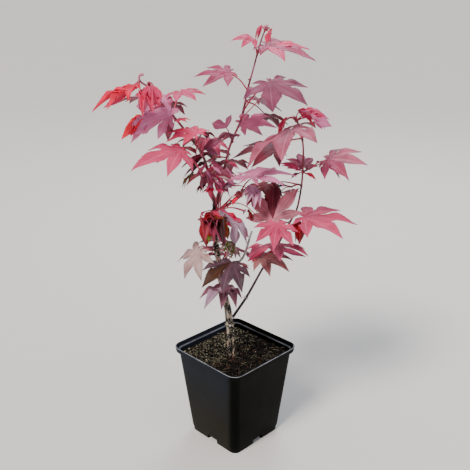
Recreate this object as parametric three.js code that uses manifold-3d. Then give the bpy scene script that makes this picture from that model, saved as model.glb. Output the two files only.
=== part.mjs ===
// A young potted japanese maple: a square nursery pot turned corner first, its compost, a grafted
// trunk with two boughs and a right-hand stem, and masses of lobed leaves on short stalks.
// Millimetres, +Z up. The origin is the middle of the pot's flat underside.
import * as THREE from 'three';
import Module from 'manifold-3d';

const wasm = await Module();
wasm.setup();

// Driving dimensions
const rimSide = 90; // across the outside of the rim
const wallSideTop = 82.6; // across the wall just under the rim
const footSide = 64; // across the foot
const potHeight = 97;
const rimBand = 5.2; // height of the rim band
const rimFlare = 0.6; // the rim spreads from the wall within this height
const wallThickness = 1.5;
const floorThickness = 2;
const cornerRadius = 7.5; // of the wall's corners
const rimCornerRadius = 10.5;
const cornerSteps = 2; // fineness of the corners
const footStep = 1.1; // the foot stands this far inside the wall
const footStepHeight = 6;
const notchWidth = 13; // drainage notch in the foot of each side
const notchDepth = 7;
const notchHeight = 5;
const drainHole = 8; // diameter
const groundHeight = 85; // compost level at the trunk
const compostRise = 5; // the compost lies this much higher along the walls
const seatGap = 0.3; // clearance between pieces that rest on each other
const bladeThickness = 0.018; // of a blade's length
const bladeThicknessLeast = 0.6;
const stalkRadius = 0.55;
const stalkSink = 1.5; // the stalk runs on this far under the middle rib
const crowding = 4; // a seeded leaf nearer than this to a limb or another leaf is skipped

const degree = Math.PI / 180;

const finishes = {
  pot: { color: 0x1e2024, roughness: 0.42 },
  compost: { color: 0x2a211b, roughness: 0.95 },
  bark: { color: 0x6e6155, roughness: 0.85 },
  shoot: { color: 0x4a1f2c, roughness: 0.6 },
  deadWood: { color: 0xb0aaa4, roughness: 0.9 },
  leaf: { color: 0xa8455c, roughness: 0.6 },
};

// Solids: closed geometry in, booleans by union and cut, one mesh out

function toSolid(points, faces) {
  const vertProperties = new Float32Array(points.flat());
  const triVerts = new Uint32Array(faces.flat());
  return new wasm.Manifold(new wasm.Mesh({ numProp: 3, vertProperties, triVerts }));
}

function toMesh(name, solid, finish) {
  const { vertProperties, triVerts } = solid.getMesh();
  const geometry = new THREE.BufferGeometry();
  geometry.setAttribute('position', new THREE.BufferAttribute(vertProperties, 3));
  geometry.setIndex(new THREE.BufferAttribute(triVerts, 1));
  geometry.computeVertexNormals();
  const material = new THREE.MeshStandardMaterial({ metalness: 0, ...finishes[finish] });
  const mesh = new THREE.Mesh(geometry, material);
  mesh.name = name;
  return mesh;
}

// Skin over rings of equal count, each end closed by a fan to its middle.
function loft(rings) {
  const count = rings[0].length;
  const points = rings.flat();
  const faces = [];
  for (let ring = 0; ring + 1 < rings.length; ring += 1) {
    for (let i = 0; i < count; i += 1) {
      const a = ring * count + i;
      const b = ring * count + ((i + 1) % count);
      faces.push([a, b, b + count], [a, b + count, a + count]);
    }
  }
  for (const [ring, outward] of [[0, false], [rings.length - 1, true]]) {
    const middle = points.length;
    const mean = (axis) => rings[ring].reduce((sum, point) => sum + point[axis] / count, 0);
    points.push([mean(0), mean(1), mean(2)]);
    for (let i = 0; i < count; i += 1) {
      const a = ring * count + i;
      const b = ring * count + ((i + 1) % count);
      faces.push(outward ? [a, b, middle] : [b, a, middle]);
    }
  }
  return toSolid(points, faces);
}

// Pot and compost

function roundedSquare(side, radius, height) {
  const half = side / 2 - radius;
  const shape = new THREE.Shape();
  for (let corner = 0; corner < 4; corner += 1) {
    const turn = corner * 90 * degree;
    const middle = new THREE.Vector2(half, half).rotateAround(new THREE.Vector2(), turn);
    shape.absarc(middle.x, middle.y, radius, turn, turn + 90 * degree, false);
  }
  const outline = shape.extractPoints(cornerSteps).shape;
  const last = outline[outline.length - 1];
  if (last.distanceTo(outline[0]) < 0.01) outline.pop();
  return outline.map((point) => [point.x, point.y, height]);
}

function squareLoft(levels) {
  return loft(levels.map(([height, side, radius]) => roundedSquare(side, radius, height)));
}

const wallFoot = footSide + 2 * footStep;
const wallTop = potHeight - rimBand;

function wallSideAt(height) {
  return THREE.MathUtils.mapLinear(height, footStepHeight, wallTop, wallFoot, wallSideTop);
}

function block(width, depth, height, x, y, z) {
  const box = new THREE.BoxGeometry(width, depth, height).translate(x, y, z);
  return geometrySolid(box);
}

function geometrySolid(geometry) {
  const position = geometry.getAttribute('position');
  const points = [];
  const found = new Map();
  const index = [];
  for (let i = 0; i < position.count; i += 1) {
    const point = [position.getX(i), position.getY(i), position.getZ(i)];
    const key = point.map((value) => value.toFixed(4)).join();
    if (!found.has(key)) {
      found.set(key, points.length);
      points.push(point);
    }
    index.push(found.get(key));
  }
  const corners = Array.from(geometry.index.array, (i) => index[i]);
  const faces = [];
  for (let i = 0; i < corners.length; i += 3) {
    const face = corners.slice(i, i + 3);
    if (new Set(face).size === 3) faces.push(face);
  }
  return toSolid(points, faces);
}

// One solid on each of the four sides, made for the side that faces -Y.
function onFourSides(make) {
  let all = null;
  for (let side = 0; side < 4; side += 1) {
    const piece = make().rotate([0, 0, side * 90]);
    all = all ? all.add(piece) : piece;
  }
  return all;
}

function notchHood(clearance) {
  const outset = footStep / 3;
  const depth = outset + notchDepth + wallThickness + clearance;
  const width = notchWidth + 2 * (wallThickness + clearance);
  const height = notchHeight + wallThickness + clearance;
  const y = (depth - footSide) / 2 - outset;
  return onFourSides(() => block(width, depth, height, 0, y, height / 2 + 0.02));
}

function potSolid() {
  const rimInside = rimSide - 2 * wallThickness;
  const ledge = wallTop + wallThickness;
  const wallInside = cornerRadius - wallThickness;
  const outside = squareLoft([
    [0, footSide - 1, cornerRadius - 1],
    [0.6, footSide, cornerRadius - 0.5],
    [footStepHeight - 0.8, footSide + 1, cornerRadius - 0.5],
    [footStepHeight, wallFoot, cornerRadius],
    [wallTop, wallSideTop, cornerRadius],
    [wallTop + rimFlare, rimSide - 1, rimCornerRadius],
    [potHeight - 0.4, rimSide, rimCornerRadius],
    [potHeight, rimSide - 0.6, rimCornerRadius],
  ]);
  const inside = squareLoft([
    [floorThickness, footSide - 2 * wallThickness - 0.5, wallInside],
    [footStepHeight + 1, wallSideAt(footStepHeight + 1) - 2 * wallThickness, wallInside],
    [ledge, wallSideAt(ledge) - 2 * wallThickness, wallInside],
    [ledge + rimFlare, rimInside - 0.6, rimCornerRadius - wallThickness],
    [potHeight + 1, rimInside, rimCornerRadius - wallThickness],
  ]);
  const notches = onFourSides(() => (
    block(notchWidth, notchDepth * 2, notchHeight * 2, 0, -footSide / 2, 0)
  ));
  const holes = onFourSides(() => {
    const hole = new THREE.CylinderGeometry(drainHole / 2, drainHole / 2, floorThickness * 3, 12);
    hole.rotateX(90 * degree).translate(footSide * 0.24, footSide * 0.24, 0);
    return geometrySolid(hole);
  });
  return outside.subtract(inside).add(notchHood(0).intersect(outside)).subtract(notches).subtract(holes);
}

function compostSolid() {
  const inset = 2 * (wallThickness + seatGap);
  const wallHeight = groundHeight + compostRise;
  const surfaceSide = wallSideAt(wallHeight) - inset;
  const radius = cornerRadius - wallThickness;
  const fill = squareLoft([
    [floorThickness + seatGap, footSide - inset - 0.5, radius],
    [footStepHeight + 1.4, wallFoot - inset, radius],
    [wallHeight, surfaceSide, radius],
    [wallHeight - compostRise * 0.35, surfaceSide * 0.8, radius],
    [wallHeight - compostRise * 0.8, surfaceSide * 0.58, radius],
    [groundHeight, surfaceSide * 0.4, radius],
  ]);
  return fill.subtract(notchHood(seatGap));
}

// Limbs: a path of knots [x, y, z, radius], sampled between two places on it, knot 0 being 0,
// knot 1 being 1 and so on

function placeOn(path, place) {
  const curve = new THREE.CatmullRomCurve3(path.map(([x, y, z]) => new THREE.Vector3(x, y, z)));
  const t = THREE.MathUtils.clamp(place / (path.length - 1), 0, 1);
  const knot = Math.min(Math.floor(place), path.length - 2);
  const radius = THREE.MathUtils.lerp(path[knot][3], path[knot + 1][3], place - knot);
  return { point: curve.getPoint(t), heading: curve.getTangent(t), radius };
}

function limb(path, { from = 0, to = path.length - 1, sides = 7, steps = 3, extra = 0 } = {}) {
  const rings = [];
  const count = Math.max(2, Math.round((to - from) * steps));
  let side = new THREE.Vector3(1, 0, 0);
  for (let step = 0; step <= count; step += 1) {
    const { point, heading, radius } = placeOn(path, THREE.MathUtils.lerp(from, to, step / count));
    side = side.addScaledVector(heading, -side.dot(heading)).normalize();
    const across = new THREE.Vector3().crossVectors(heading, side);
    const ring = [];
    for (let i = 0; i < sides; i += 1) {
      const turn = (i / sides) * 360 * degree;
      const reach = radius + extra;
      const corner = point.clone().addScaledVector(side, Math.cos(turn) * reach);
      ring.push(corner.addScaledVector(across, Math.sin(turn) * reach).toArray());
    }
    rings.push(ring);
  }
  return loft(rings);
}

// The main stem runs from the compost to the fork, and on as the left bough and the left tip.
const mainStem = [
  [-5.4, -2, groundHeight + seatGap, 3],
  [-5.7, -2, 90, 1.95],
  [-6.2, -1, 104, 1.8],
  [-6, 0, 115, 2.1],
  [-5.4, 0, 121, 3.9],
  [-5.9, 0, 128, 3.7],
  [-6.8, 0, 136, 3.45],
  [-11.2, 0, 158, 3.1],
  [-17, 0, 199, 2.5],
  [-20, 0, 234, 2.1],
  [-18.5, 0, 244, 2.1],
  [-20, -1.5, 251, 1.5],
  [-22.6, -4, 267, 1.4],
  [-26, -5, 284, 1.3],
  [-30.2, -6, 295, 1.2],
  [-43, -8, 314, 1.1],
  [-50.4, -10, 324.3, 1.1],
  [-62.7, -12, 338.5, 0.95],
  [-73.5, -14, 353.4, 0.85],
  [-80, -16, 359, 0.8],
  [-80.5, -16.5, 363.5, 0.6],
];
const forkKnot = 10;
const leftBoughKnot = 16;

const topLeader = [
  [-16.7, 0.4, 244.8, 1.4],
  [-14, 1, 258, 1.3],
  [-9.2, 2, 280.2, 1.2],
  [-5.8, 3, 294.6, 1.2],
  [-2.3, 3, 304.6, 1.15],
  [5.7, 3, 323.5, 1.1],
  [10.9, 2, 348.7, 1],
  [15, 1, 364, 0.9],
  [18.9, 0, 379, 0.85],
  [21.5, 0, 388.5, 0.75],
  [25.1, 0, 398.4, 0.7],
  [27.7, 0, 403, 0.5],
];
const topBoughKnot = 5;

const rightLeader = [
  [-5.8, 1, 121, 1.75],
  [-1, 4, 128.4, 1.75],
  [10.7, 5, 147, 1.65],
  [27.8, 4, 181, 1.3],
  [37.9, 3, 198.4, 1.25],
  [51.3, 2, 226.6, 1.2],
  [57, 2, 238.4, 1.2],
  [60.5, 2, 258.7, 1.15],
  [61.5, 2, 274.8, 1.15],
  [60.6, 2, 302.6, 1.05],
  [54.4, 0, 322.3, 0.9],
  [51.6, 0, 324.5, 0.7],
];
const rightStemKnot = 9;

const secondStem = [
  [-1.2, -3.4, groundHeight + seatGap, 1.5],
  [-1.5, -3, 92, 1.15],
  [-1.7, -2, 106, 1.05],
  [-1.6, -1, 115, 1.05],
  [-3.4, -1, 121.5, 1.05],
];

const deadTwig = [
  [-15.5, 0, 178, 1.3],
  [-8, 4, 180, 1.25],
  [6, 6, 187, 1.2],
  [16, 8, 215.5, 1.1],
];

// Leaves. A leaf's own frame has its stalk's end at the origin, its middle lobe along +X and its
// upper face up. Lobes fan out on both sides, and each curls down evenly towards its tip.

const lobeAngles = [-118, -78, -38, 0, 38, 78, 118];
const lobeLengths = [0.3, 0.64, 0.88, 1, 0.88, 0.64, 0.3];
const sinusDepth = 0.36; // where neighbouring lobes part, in lobe lengths from the stalk
const shoulderPlace = 0.52; // where a lobe is widest
const shoulderWidth = 0.15; // half its width there
const lobeFold = 0.3; // the edges stand up from the rib by this much of the half width

function seededRandom(seed) {
  let state = seed >>> 0;
  return () => {
    state = (Math.imul(state, 1664525) + 1013904223) >>> 0;
    return state / 4294967296;
  };
}

function bearingVector(bearing, rise) {
  const level = Math.cos(rise * degree);
  return new THREE.Vector3(
    level * Math.cos(bearing * degree), level * Math.sin(bearing * degree), Math.sin(rise * degree));
}

// heading is where the middle lobe points in plan, drop how far it hangs below level, and roll
// the turn about that lobe.
function bladeFrame({ heading, drop, roll }) {
  const turn = new THREE.Matrix4().makeRotationZ(heading * degree);
  turn.multiply(new THREE.Matrix4().makeRotationY(drop * degree));
  return turn.multiply(new THREE.Matrix4().makeRotationX(roll * degree));
}

// fan spreads or gathers the lobes, skew lengthens those on the left and shortens those on the
// right, and reach lengthens the middle one. A young or torn leaf has only the kept lobes.
function bladeLobes({ blade, fan, skew, reach, kept }) {
  return lobeAngles.map((angle, i) => {
    const sideways = Math.sign(angle) * Math.min(Math.abs(angle) / 60, 1);
    const stretch = angle === 0 ? reach : 1 + skew * sideways;
    return { angle: angle * fan * degree, length: blade * lobeLengths[i] * stretch };
  }).filter((lobe, i) => !kept || kept.includes(i));
}

// A place on the curled blade: radius out from the stalk at an angle, on a lobe of this length.
function onBlade(leaf, radius, angle, length, lift) {
  const curve = (Math.max(leaf.curl, 1) * degree) / length;
  const out = Math.sin(curve * radius) / curve;
  const down = (1 - Math.cos(curve * radius)) / curve;
  const point = new THREE.Vector3(out * Math.cos(angle), out * Math.sin(angle), lift - down);
  return point.applyMatrix4(bladeFrame(leaf)).add(leaf.base);
}

function bladeSolid(leaf) {
  const lobes = bladeLobes(leaf);
  const half = Math.max(leaf.blade * bladeThickness, bladeThicknessLeast) / 2;
  const points = [];
  const faces = [];
  const add = (radius, angle, length, lift) => {
    points.push(onBlade(leaf, radius, angle, length, lift).toArray());
    return points.length - 1;
  };
  const top = add(0, 0, leaf.blade, half);
  const under = add(0, 0, leaf.blade, -half);
  const notch = add(leaf.blade * 0.05, 180 * degree, leaf.blade, 0);
  let before = notch;
  lobes.forEach(({ angle, length }, i) => {
    const next = lobes[i + 1];
    const shoulder = Math.atan2(shoulderWidth, shoulderPlace);
    const reach = length * Math.hypot(shoulderWidth, shoulderPlace);
    const lift = length * shoulderWidth * lobeFold;
    const tip = add(length, angle, length, 0);
    let after = notch;
    if (next) {
      const shorter = Math.min(length, next.length);
      after = add(shorter * sinusDepth, (angle + next.angle) / 2, shorter, lift * 0.5);
    }
    if (before === notch || after === notch) {
      faces.push([top, before, tip], [top, tip, after], [under, tip, before], [under, after, tip]);
    } else {
      const rib = add(length * 0.5, angle, length, half * 0.8);
      const ribUnder = add(length * 0.5, angle, length, -half * 0.8);
      const left = add(reach, angle - shoulder, length, lift);
      const right = add(reach, angle + shoulder, length, lift);
      const edge = [before, left, tip, right, after];
      faces.push([top, before, rib], [top, rib, after]);
      faces.push([under, ribUnder, before], [under, after, ribUnder]);
      for (let k = 0; k + 1 < edge.length; k += 1) {
        faces.push([rib, edge[k], edge[k + 1]], [ribUnder, edge[k + 1], edge[k]]);
      }
    }
    before = after;
  });
  return toSolid(points, faces);
}

// The stalk arches a little between its node and the blade.
function stalkSolid(leaf) {
  const arch = leaf.node.clone().lerp(leaf.base, 0.5);
  arch.z += leaf.stalk * 0.08;
  const heart = onBlade(leaf, stalkSink, 0, leaf.blade, 0);
  const path = [leaf.node, arch, heart].map((point) => [...point.toArray(), stalkRadius]);
  return limb(path, { sides: 3, steps: 1 });
}

// The places that tell whether a leaf has room: along each lobe and along its stalk.
function leafMarks(leaf) {
  const marks = [0.3, 0.5, 0.75, 1].map((part) => leaf.node.clone().lerp(leaf.base, part));
  for (const { angle, length } of bladeLobes(leaf)) {
    for (const part of [0.35, 0.7, 1]) marks.push(onBlade(leaf, length * part, angle, length, 0));
  }
  return marks;
}

const plainLeaf = { drop: 15, roll: 0, curl: 28, fan: 1, skew: 0, reach: 1 };

function growLeaf(stem, settings) {
  const leaf = { ...plainLeaf, ...settings };
  leaf.heading ??= leaf.bearing;
  leaf.node = placeOn(stem, leaf.at).point;
  leaf.base = bearingVector(leaf.bearing, leaf.rise).multiplyScalar(leaf.stalk).add(leaf.node);
  return leaf;
}

// Leaves grown by rule on the sides that no main leaf covers: pairs out of the stem, facing a
// bearing and fanning out from it, each with its own chance in length, turn and hang.
function seededLeaves(stem, { tries, facing, spread, seed, blade, at }) {
  const random = seededRandom(seed);
  const leaves = [];
  for (let i = 0; i < tries; i += 1) {
    const side = i % 2 ? 1 : -1;
    const chance = (span) => (random() - 0.5) * span;
    const bearing = facing + side * spread * (0.2 + 0.8 * (i / tries)) + chance(20);
    leaves.push(growLeaf(stem, {
      at: at ?? stem.length - 1.1 - 0.5 * (i % 3),
      stalk: 16 + chance(8) + 16 * (i / tries),
      bearing,
      rise: chance(40) - 12,
      heading: bearing + chance(30),
      drop: 18 + chance(30),
      roll: chance(30),
      blade: blade * (1 + chance(0.22)),
    }));
  }
  return leaves;
}

// Each mass of foliage: where its stem leaves the limb, the stem's own short path, and its leaves.
// A mass that carries on a leader has from instead, the knot of the leader where it starts.
const masses = {
  left_tip_leaves: {
    stem: mainStem,
    from: leftBoughKnot,
    leaves: [
      { at: 16.3, stalk: 8, bearing: 254, rise: 8,
        heading: 193, drop: 9, roll: -53, blade: 37, curl: 57, fan: 1.2, skew: -0.45, reach: 1.26 },
      { at: 17, stalk: 14, bearing: 110, rise: -40, heading: 198, drop: 17, blade: 41, fan: 0.5 },
      { at: 16.3, stalk: 25, bearing: 69, rise: 48,
        heading: 304, drop: 6, roll: 7, blade: 27, curl: 8, fan: 1.07 },
      { at: 18, stalk: 16, bearing: 273, rise: 9,
        heading: 269, drop: 8, roll: 7, blade: 37, curl: 31, fan: 0.32, skew: 0.41, reach: 1.22 },
      { at: 19, stalk: 18, bearing: 268, rise: -1,
        heading: 205, drop: 16, roll: 3, blade: 39, curl: 22, fan: 0.7, skew: 0.2, reach: 1.11 },
    ],
    seeded: { tries: 8, facing: 105, spread: 30, seed: 38, blade: 30, at: 17 },
  },
  left_front_leaves: {
    stem: [[-22.6, -4, 267, 1], [-25, -8, 271, 0.9], [-28, -13, 275, 0.8]],
    leaves: [
      { at: 1.9, stalk: 46, bearing: 239, rise: 42,
        heading: 210, drop: 0, roll: -18, blade: 36, curl: 35, fan: 1.2, skew: 0.03, reach: 1.3 },
      { at: 1.5, stalk: 12, bearing: 190, rise: 25, heading: 180, drop: 35, blade: 18, curl: 40, fan: 0.7 },
    ],
  },
  left_inner_leaves: {
    stem: [[-30.2, -6, 295, 0.9], [-30.8, -10, 298, 0.8], [-31.3, -14, 301.5, 0.7]],
    leaves: [
      { at: 1.9, stalk: 22, bearing: 262, rise: 44,
        heading: 147, drop: -6, roll: -9, blade: 32, curl: 24, fan: 1.13, skew: -0.1 },
    ],
  },
  left_back_leaves: {
    stem: [[-36, -7, 304, 0.9], [-33, -1, 306, 0.9], [-31, 6, 307, 0.8], [-30, 14, 310, 0.7]],
    leaves: [
      { at: 1.2, stalk: 14, bearing: 57, rise: -14,
        heading: 301, drop: 15, blade: 27, curl: 25, fan: 1.08 },
    ],
    seeded: { tries: 16, facing: 120, spread: 35, seed: 102, blade: 36 },
  },
  top_leaves: {
    stem: topLeader,
    from: topBoughKnot,
    leaves: [
      { at: 5.3, stalk: 38, bearing: 322, rise: 44,
        heading: 318, drop: 14, roll: 13, blade: 43, curl: 14, fan: 1.16, skew: -0.18 },
      { at: 5.2, stalk: 14, bearing: 100, rise: -55,
        heading: 1, drop: -3, roll: -42, blade: 33, curl: 20, skew: -0.2 },
      { at: 6, stalk: 24, bearing: 207, rise: 43,
        heading: 184, drop: 4, roll: -18, blade: 32, curl: 6, fan: 1.05, skew: 0.19, reach: 0.96 },
      { at: 8, stalk: 11, bearing: 15, rise: 43,
        heading: 337, drop: 9, roll: 9, blade: 42, curl: 11, fan: 1.03, skew: 0.15, reach: 1.09 },
      { at: 8, stalk: 16, bearing: 235, rise: 63,
        heading: 195, drop: -3, roll: -23, blade: 17, curl: 21,
        fan: 1.15, skew: 0.26, reach: 1.1, kept: [2, 3, 4, 5] },
      { at: 10, stalk: 6, bearing: 215, rise: 58,
        heading: 224, drop: 39, blade: 14, curl: 40, fan: 0.2, kept: [2, 3, 4] },
      { at: 10, stalk: 7, bearing: 10, rise: 20,
        heading: 235, drop: 52, blade: 14, curl: 30, fan: 0.2, kept: [2, 3, 4] },
    ],
    seeded: { tries: 10, facing: 35, spread: 30, seed: 72, blade: 30, at: 5.6 },
  },
  centre_leaves: {
    stem: [[-2.3, 3, 304.6, 0.9], [-4, -1, 307, 0.8], [-5.5, -5, 310, 0.7]],
    leaves: [
      { at: 1.9, stalk: 12, bearing: 260, rise: 50,
        heading: 145, drop: -7, roll: -62, blade: 20, curl: 25, kept: [1, 3] },
      { at: 1.7, stalk: 13, bearing: 320, rise: 12,
        heading: 212, drop: -10, roll: 4, blade: 28, curl: 34, fan: 0.35 },
    ],
  },
  centre_back_leaves: {
    stem: [[-9.2, 2, 280.2, 0.9], [-8, 9, 284, 0.8], [-6, 17, 288, 0.7]],
    leaves: [],
    seeded: { tries: 16, facing: 100, spread: 35, seed: 104, blade: 38 },
  },
  centre_front_leaves: {
    stem: [[-19.6, 0, 238, 0.9], [-10, -4, 243, 0.8], [0, -6, 252.6, 0.8], [4.5, -9, 257.3, 0.7]],
    leaves: [
      { at: 2.9, stalk: 32, bearing: 298, rise: 43, heading: 62, drop: -8, roll: -6, blade: 48, fan: 1.14 },
      { at: 2.6, stalk: 16, bearing: 350, rise: 40,
        heading: 281, drop: 30, roll: -20, blade: 26, curl: 30, fan: 0.5 },
    ],
  },
  right_tip_leaves: {
    stem: rightLeader,
    from: rightStemKnot,
    leaves: [
      { at: 9.15, stalk: 24, bearing: 238, rise: 30,
        heading: 214, drop: 13, roll: 13, blade: 53, curl: 32, fan: 1.03, skew: 0.28, reach: 1.09 },
      { at: 9.15, stalk: 32, bearing: 137, rise: -26,
        heading: 189, drop: -2, roll: -11, blade: 43, curl: 26, fan: 1.08 },
      { at: 10, stalk: 13, bearing: 268, rise: 52,
        heading: 343, drop: 12, roll: 34, blade: 34, fan: 0.32 },
      { at: 10.9, stalk: 6, bearing: 190, rise: 15,
        heading: 217, drop: 47, blade: 19, curl: 20, fan: 0.22, kept: [2, 3, 4] },
    ],
    seeded: { tries: 8, facing: 95, spread: 35, seed: 6, blade: 30, at: 9.5 },
  },
  right_side_leaves: {
    stem: [[61.5, 2, 274.8, 0.9], [65, 1, 277, 0.8], [69, -1, 279.5, 0.7]],
    leaves: [
      { at: 1.9, stalk: 17, bearing: 339, rise: 34,
        heading: 329, drop: -10, roll: 24, blade: 38, curl: 27 },
      { at: 1, stalk: 15, bearing: 95, rise: -5, heading: 99, drop: -29, blade: 25, curl: 25 },
    ],
    seeded: { tries: 10, facing: 60, spread: 35, seed: 6, blade: 34 },
  },
  right_inner_leaves: {
    stem: [[60.7, 2, 262, 0.9], [58, 9, 261, 0.8], [52, 14, 257, 0.7]],
    leaves: [
      { at: 1.9, stalk: 18, bearing: 146, rise: -9, heading: 248, drop: 27, roll: 37, blade: 24, curl: 30 },
    ],
    seeded: { tries: 14, facing: 145, spread: 35, seed: 88, blade: 36 },
  },
  right_front_leaves: {
    stem: [[51.3, 2, 226.6, 0.9], [48, -6, 229, 0.8], [45, -14, 231.5, 0.7]],
    leaves: [
      { at: 1.9, stalk: 29, bearing: 251, rise: 18,
        heading: 262, drop: 27, roll: -4, blade: 33, curl: 5, fan: 0.9, reach: 0.94 },
      { at: 1.4, stalk: 14, bearing: 200, rise: 20,
        heading: 90, drop: -51, roll: -17, blade: 45, curl: 20 },
    ],
  },
  right_low_leaves: {
    stem: [[48, 2.5, 219.5, 0.9], [52, -1, 221.5, 0.8], [56, -5, 225, 0.7]],
    leaves: [
      { at: 1.9, stalk: 15, bearing: 320, rise: 50,
        heading: 353, drop: -1, roll: 6, blade: 52, curl: 15, fan: 1.07, skew: -0.04, reach: 0.94 },
      { at: 1.6, stalk: 13, bearing: 262, rise: 42,
        heading: 293, drop: 47, roll: 10, blade: 22, curl: 30, fan: 0.2, kept: [2, 3, 4] },
    ],
  },
  low_right_leaves: {
    stem: [[37.9, 3, 198.4, 0.9], [36, -2, 199.5, 0.8], [34, -7, 201, 0.7]],
    leaves: [
      { at: 1.9, stalk: 19, bearing: 278, rise: 42,
        heading: 273, drop: -13, blade: 45, curl: 23, fan: 1.16 },
      { at: 1.6, stalk: 11, bearing: 205, rise: -15,
        heading: 316, roll: 11, drop: 0, blade: 34, curl: 26, fan: 0.92 },
    ],
  },
  fork_leaves: {
    stem: [[-19.6, 0, 237, 0.9], [-19, -4, 239, 0.8], [-17.5, -8, 241, 0.7]],
    leaves: [
      { at: 1.9, stalk: 15, bearing: 256, rise: 12,
        heading: 275, drop: 13, roll: 3, blade: 43, curl: 36, fan: 0.36, skew: 0.08, reach: 0.85 },
      { at: 1.7, stalk: 10, bearing: 310, rise: 16,
        heading: 332, drop: 30, roll: -11, blade: 40, curl: 33, fan: 0.63 },
    ],
  },
  low_left_leaves: {
    stem: [[-17, 0, 199.3, 0.9], [-21, -5, 201, 0.8], [-24, -10, 203, 0.7]],
    leaves: [
      { at: 1.9, stalk: 17, bearing: 238, rise: 13,
        heading: 195, drop: 47, roll: -23, blade: 31, curl: 33, fan: 1.25 },
    ],
    seeded: { tries: 8, facing: 120, spread: 40, seed: 86, blade: 30, at: 1 },
  },
  low_front_leaves: {
    stem: [[-13.4, 0, 168, 0.9], [-11, -5, 173, 0.8], [-9, -9, 178, 0.7]],
    leaves: [
      { at: 1.9, stalk: 35, bearing: 284, rise: 43,
        heading: 255, drop: 18, roll: -8, blade: 40, curl: 37, fan: 0.87, skew: -0.11, reach: 0.85 },
      { at: 1.5, stalk: 9, bearing: 285, rise: -45,
        heading: 264, drop: 0, roll: -3, blade: 42, curl: 30, fan: 0.64, skew: -0.14, reach: 0.85 },
    ],
  },
  low_back_leaves: {
    stem: [[-15, 0, 182, 0.9], [-12, 8, 186, 0.8], [-8, 16, 191, 0.7]],
    leaves: [],
    seeded: { tries: 16, facing: 80, spread: 35, seed: 72, blade: 34 },
  },
};

function crowded(leaf, others) {
  const marks = leafMarks(leaf);
  return others.some((other) => marks.some((mark) => mark.distanceTo(other) < crowding));
}

function otherTwigs(mass) {
  const others = Object.values(masses).filter((other) => other !== mass);
  return others.flatMap(({ stem, from = 0 }) => limbMarks(stem, from, stem.length - 1));
}

// The main leaves of every mass take their places first. The seeded ones then fill in where there
// is room.
function growMasses(marks) {
  const grown = {};
  for (const [name, { stem, leaves }] of Object.entries(masses)) {
    grown[name] = leaves.map((settings) => growLeaf(stem, settings));
    marks.push(...grown[name].flatMap(leafMarks));
  }
  for (const [name, mass] of Object.entries(masses)) {
    const twigs = otherTwigs(mass);
    for (const leaf of mass.seeded ? seededLeaves(mass.stem, mass.seeded) : []) {
      if (crowded(leaf, [...marks, ...twigs])) continue;
      grown[name].push(leaf);
      marks.push(...leafMarks(leaf));
    }
  }
  return grown;
}

function massSolid({ stem, from = 0 }, leaves, grownLimbs) {
  const start = from ? from + seatGap / stemStep(stem, from) : 0;
  let solid = limb(stem, { from: start, sides: 5, steps: 2 });
  for (const leaf of leaves) solid = solid.add(bladeSolid(leaf)).add(stalkSolid(leaf));
  return grownLimbs.reduce((piece, grownLimb) => piece.subtract(grownLimb), solid);
}

// Length of path, mm, in one knot's step after this knot.
function stemStep(path, knot) {
  return placeOn(path, knot).point.distanceTo(placeOn(path, knot + 1).point);
}

function limbMarks(path, from, to) {
  const marks = [];
  for (let place = from; place <= to; place += 0.25) marks.push(placeOn(path, place).point);
  return marks;
}

// Assembly

const limbs = {
  trunk: { path: mainStem, to: forkKnot, sides: 10, steps: 2, finish: 'bark' },
  left_bough: { path: mainStem, from: forkKnot, to: leftBoughKnot, steps: 2, finish: 'shoot' },
  top_bough: { path: topLeader, to: topBoughKnot, steps: 2, finish: 'shoot' },
  right_stem: { path: rightLeader, to: rightStemKnot, steps: 2, finish: 'shoot' },
  second_stem: { path: secondStem, sides: 6, steps: 2, finish: 'bark' },
  dead_twig: { path: deadTwig, sides: 5, finish: 'deadWood' },
};

function buildPlant() {
  const meshes = [];
  const grownLimbs = [];
  const marks = [];
  for (const [name, { path, finish, ...shape }] of Object.entries(limbs)) {
    const from = shape.from ?? 0;
    const to = shape.to ?? path.length - 1;
    const start = from ? from + seatGap / stemStep(path, from) : 0;
    const wood = limb(path, { ...shape, from: start, to });
    meshes.push(toMesh(name, grownLimbs.reduce((piece, grown) => piece.subtract(grown), wood), finish));
    grownLimbs.push(limb(path, { ...shape, from: start, to, extra: seatGap }));
    marks.push(...limbMarks(path, from, to));
  }
  const leaves = growMasses(marks);
  for (const [name, mass] of Object.entries(masses)) {
    meshes.push(toMesh(name, massSolid(mass, leaves[name], grownLimbs), 'leaf'));
  }
  return meshes;
}

const pottedMaple = new THREE.Group();
const potGroup = new THREE.Group();
potGroup.rotation.z = 45 * degree;
potGroup.add(toMesh('pot', potSolid(), 'pot'), toMesh('compost', compostSolid(), 'compost'));
pottedMaple.add(potGroup, ...buildPlant());

export default pottedMaple;
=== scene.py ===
import math

import bmesh
import bpy
import numpy as np
from mathutils import Matrix, Vector, noise


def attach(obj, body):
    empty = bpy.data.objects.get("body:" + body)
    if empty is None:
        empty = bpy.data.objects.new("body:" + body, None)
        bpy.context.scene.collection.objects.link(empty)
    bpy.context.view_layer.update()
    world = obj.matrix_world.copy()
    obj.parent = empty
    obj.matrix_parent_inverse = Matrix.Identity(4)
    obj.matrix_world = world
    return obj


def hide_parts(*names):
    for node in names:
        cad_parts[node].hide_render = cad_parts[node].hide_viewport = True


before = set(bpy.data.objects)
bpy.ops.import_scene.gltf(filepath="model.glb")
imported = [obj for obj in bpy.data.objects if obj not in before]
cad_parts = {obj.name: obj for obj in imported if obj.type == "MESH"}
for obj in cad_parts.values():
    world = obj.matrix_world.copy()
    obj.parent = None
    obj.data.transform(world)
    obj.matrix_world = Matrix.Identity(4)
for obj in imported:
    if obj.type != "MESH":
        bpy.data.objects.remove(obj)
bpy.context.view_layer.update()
mm = 0.001
rad = math.radians


# shared helpers

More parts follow.
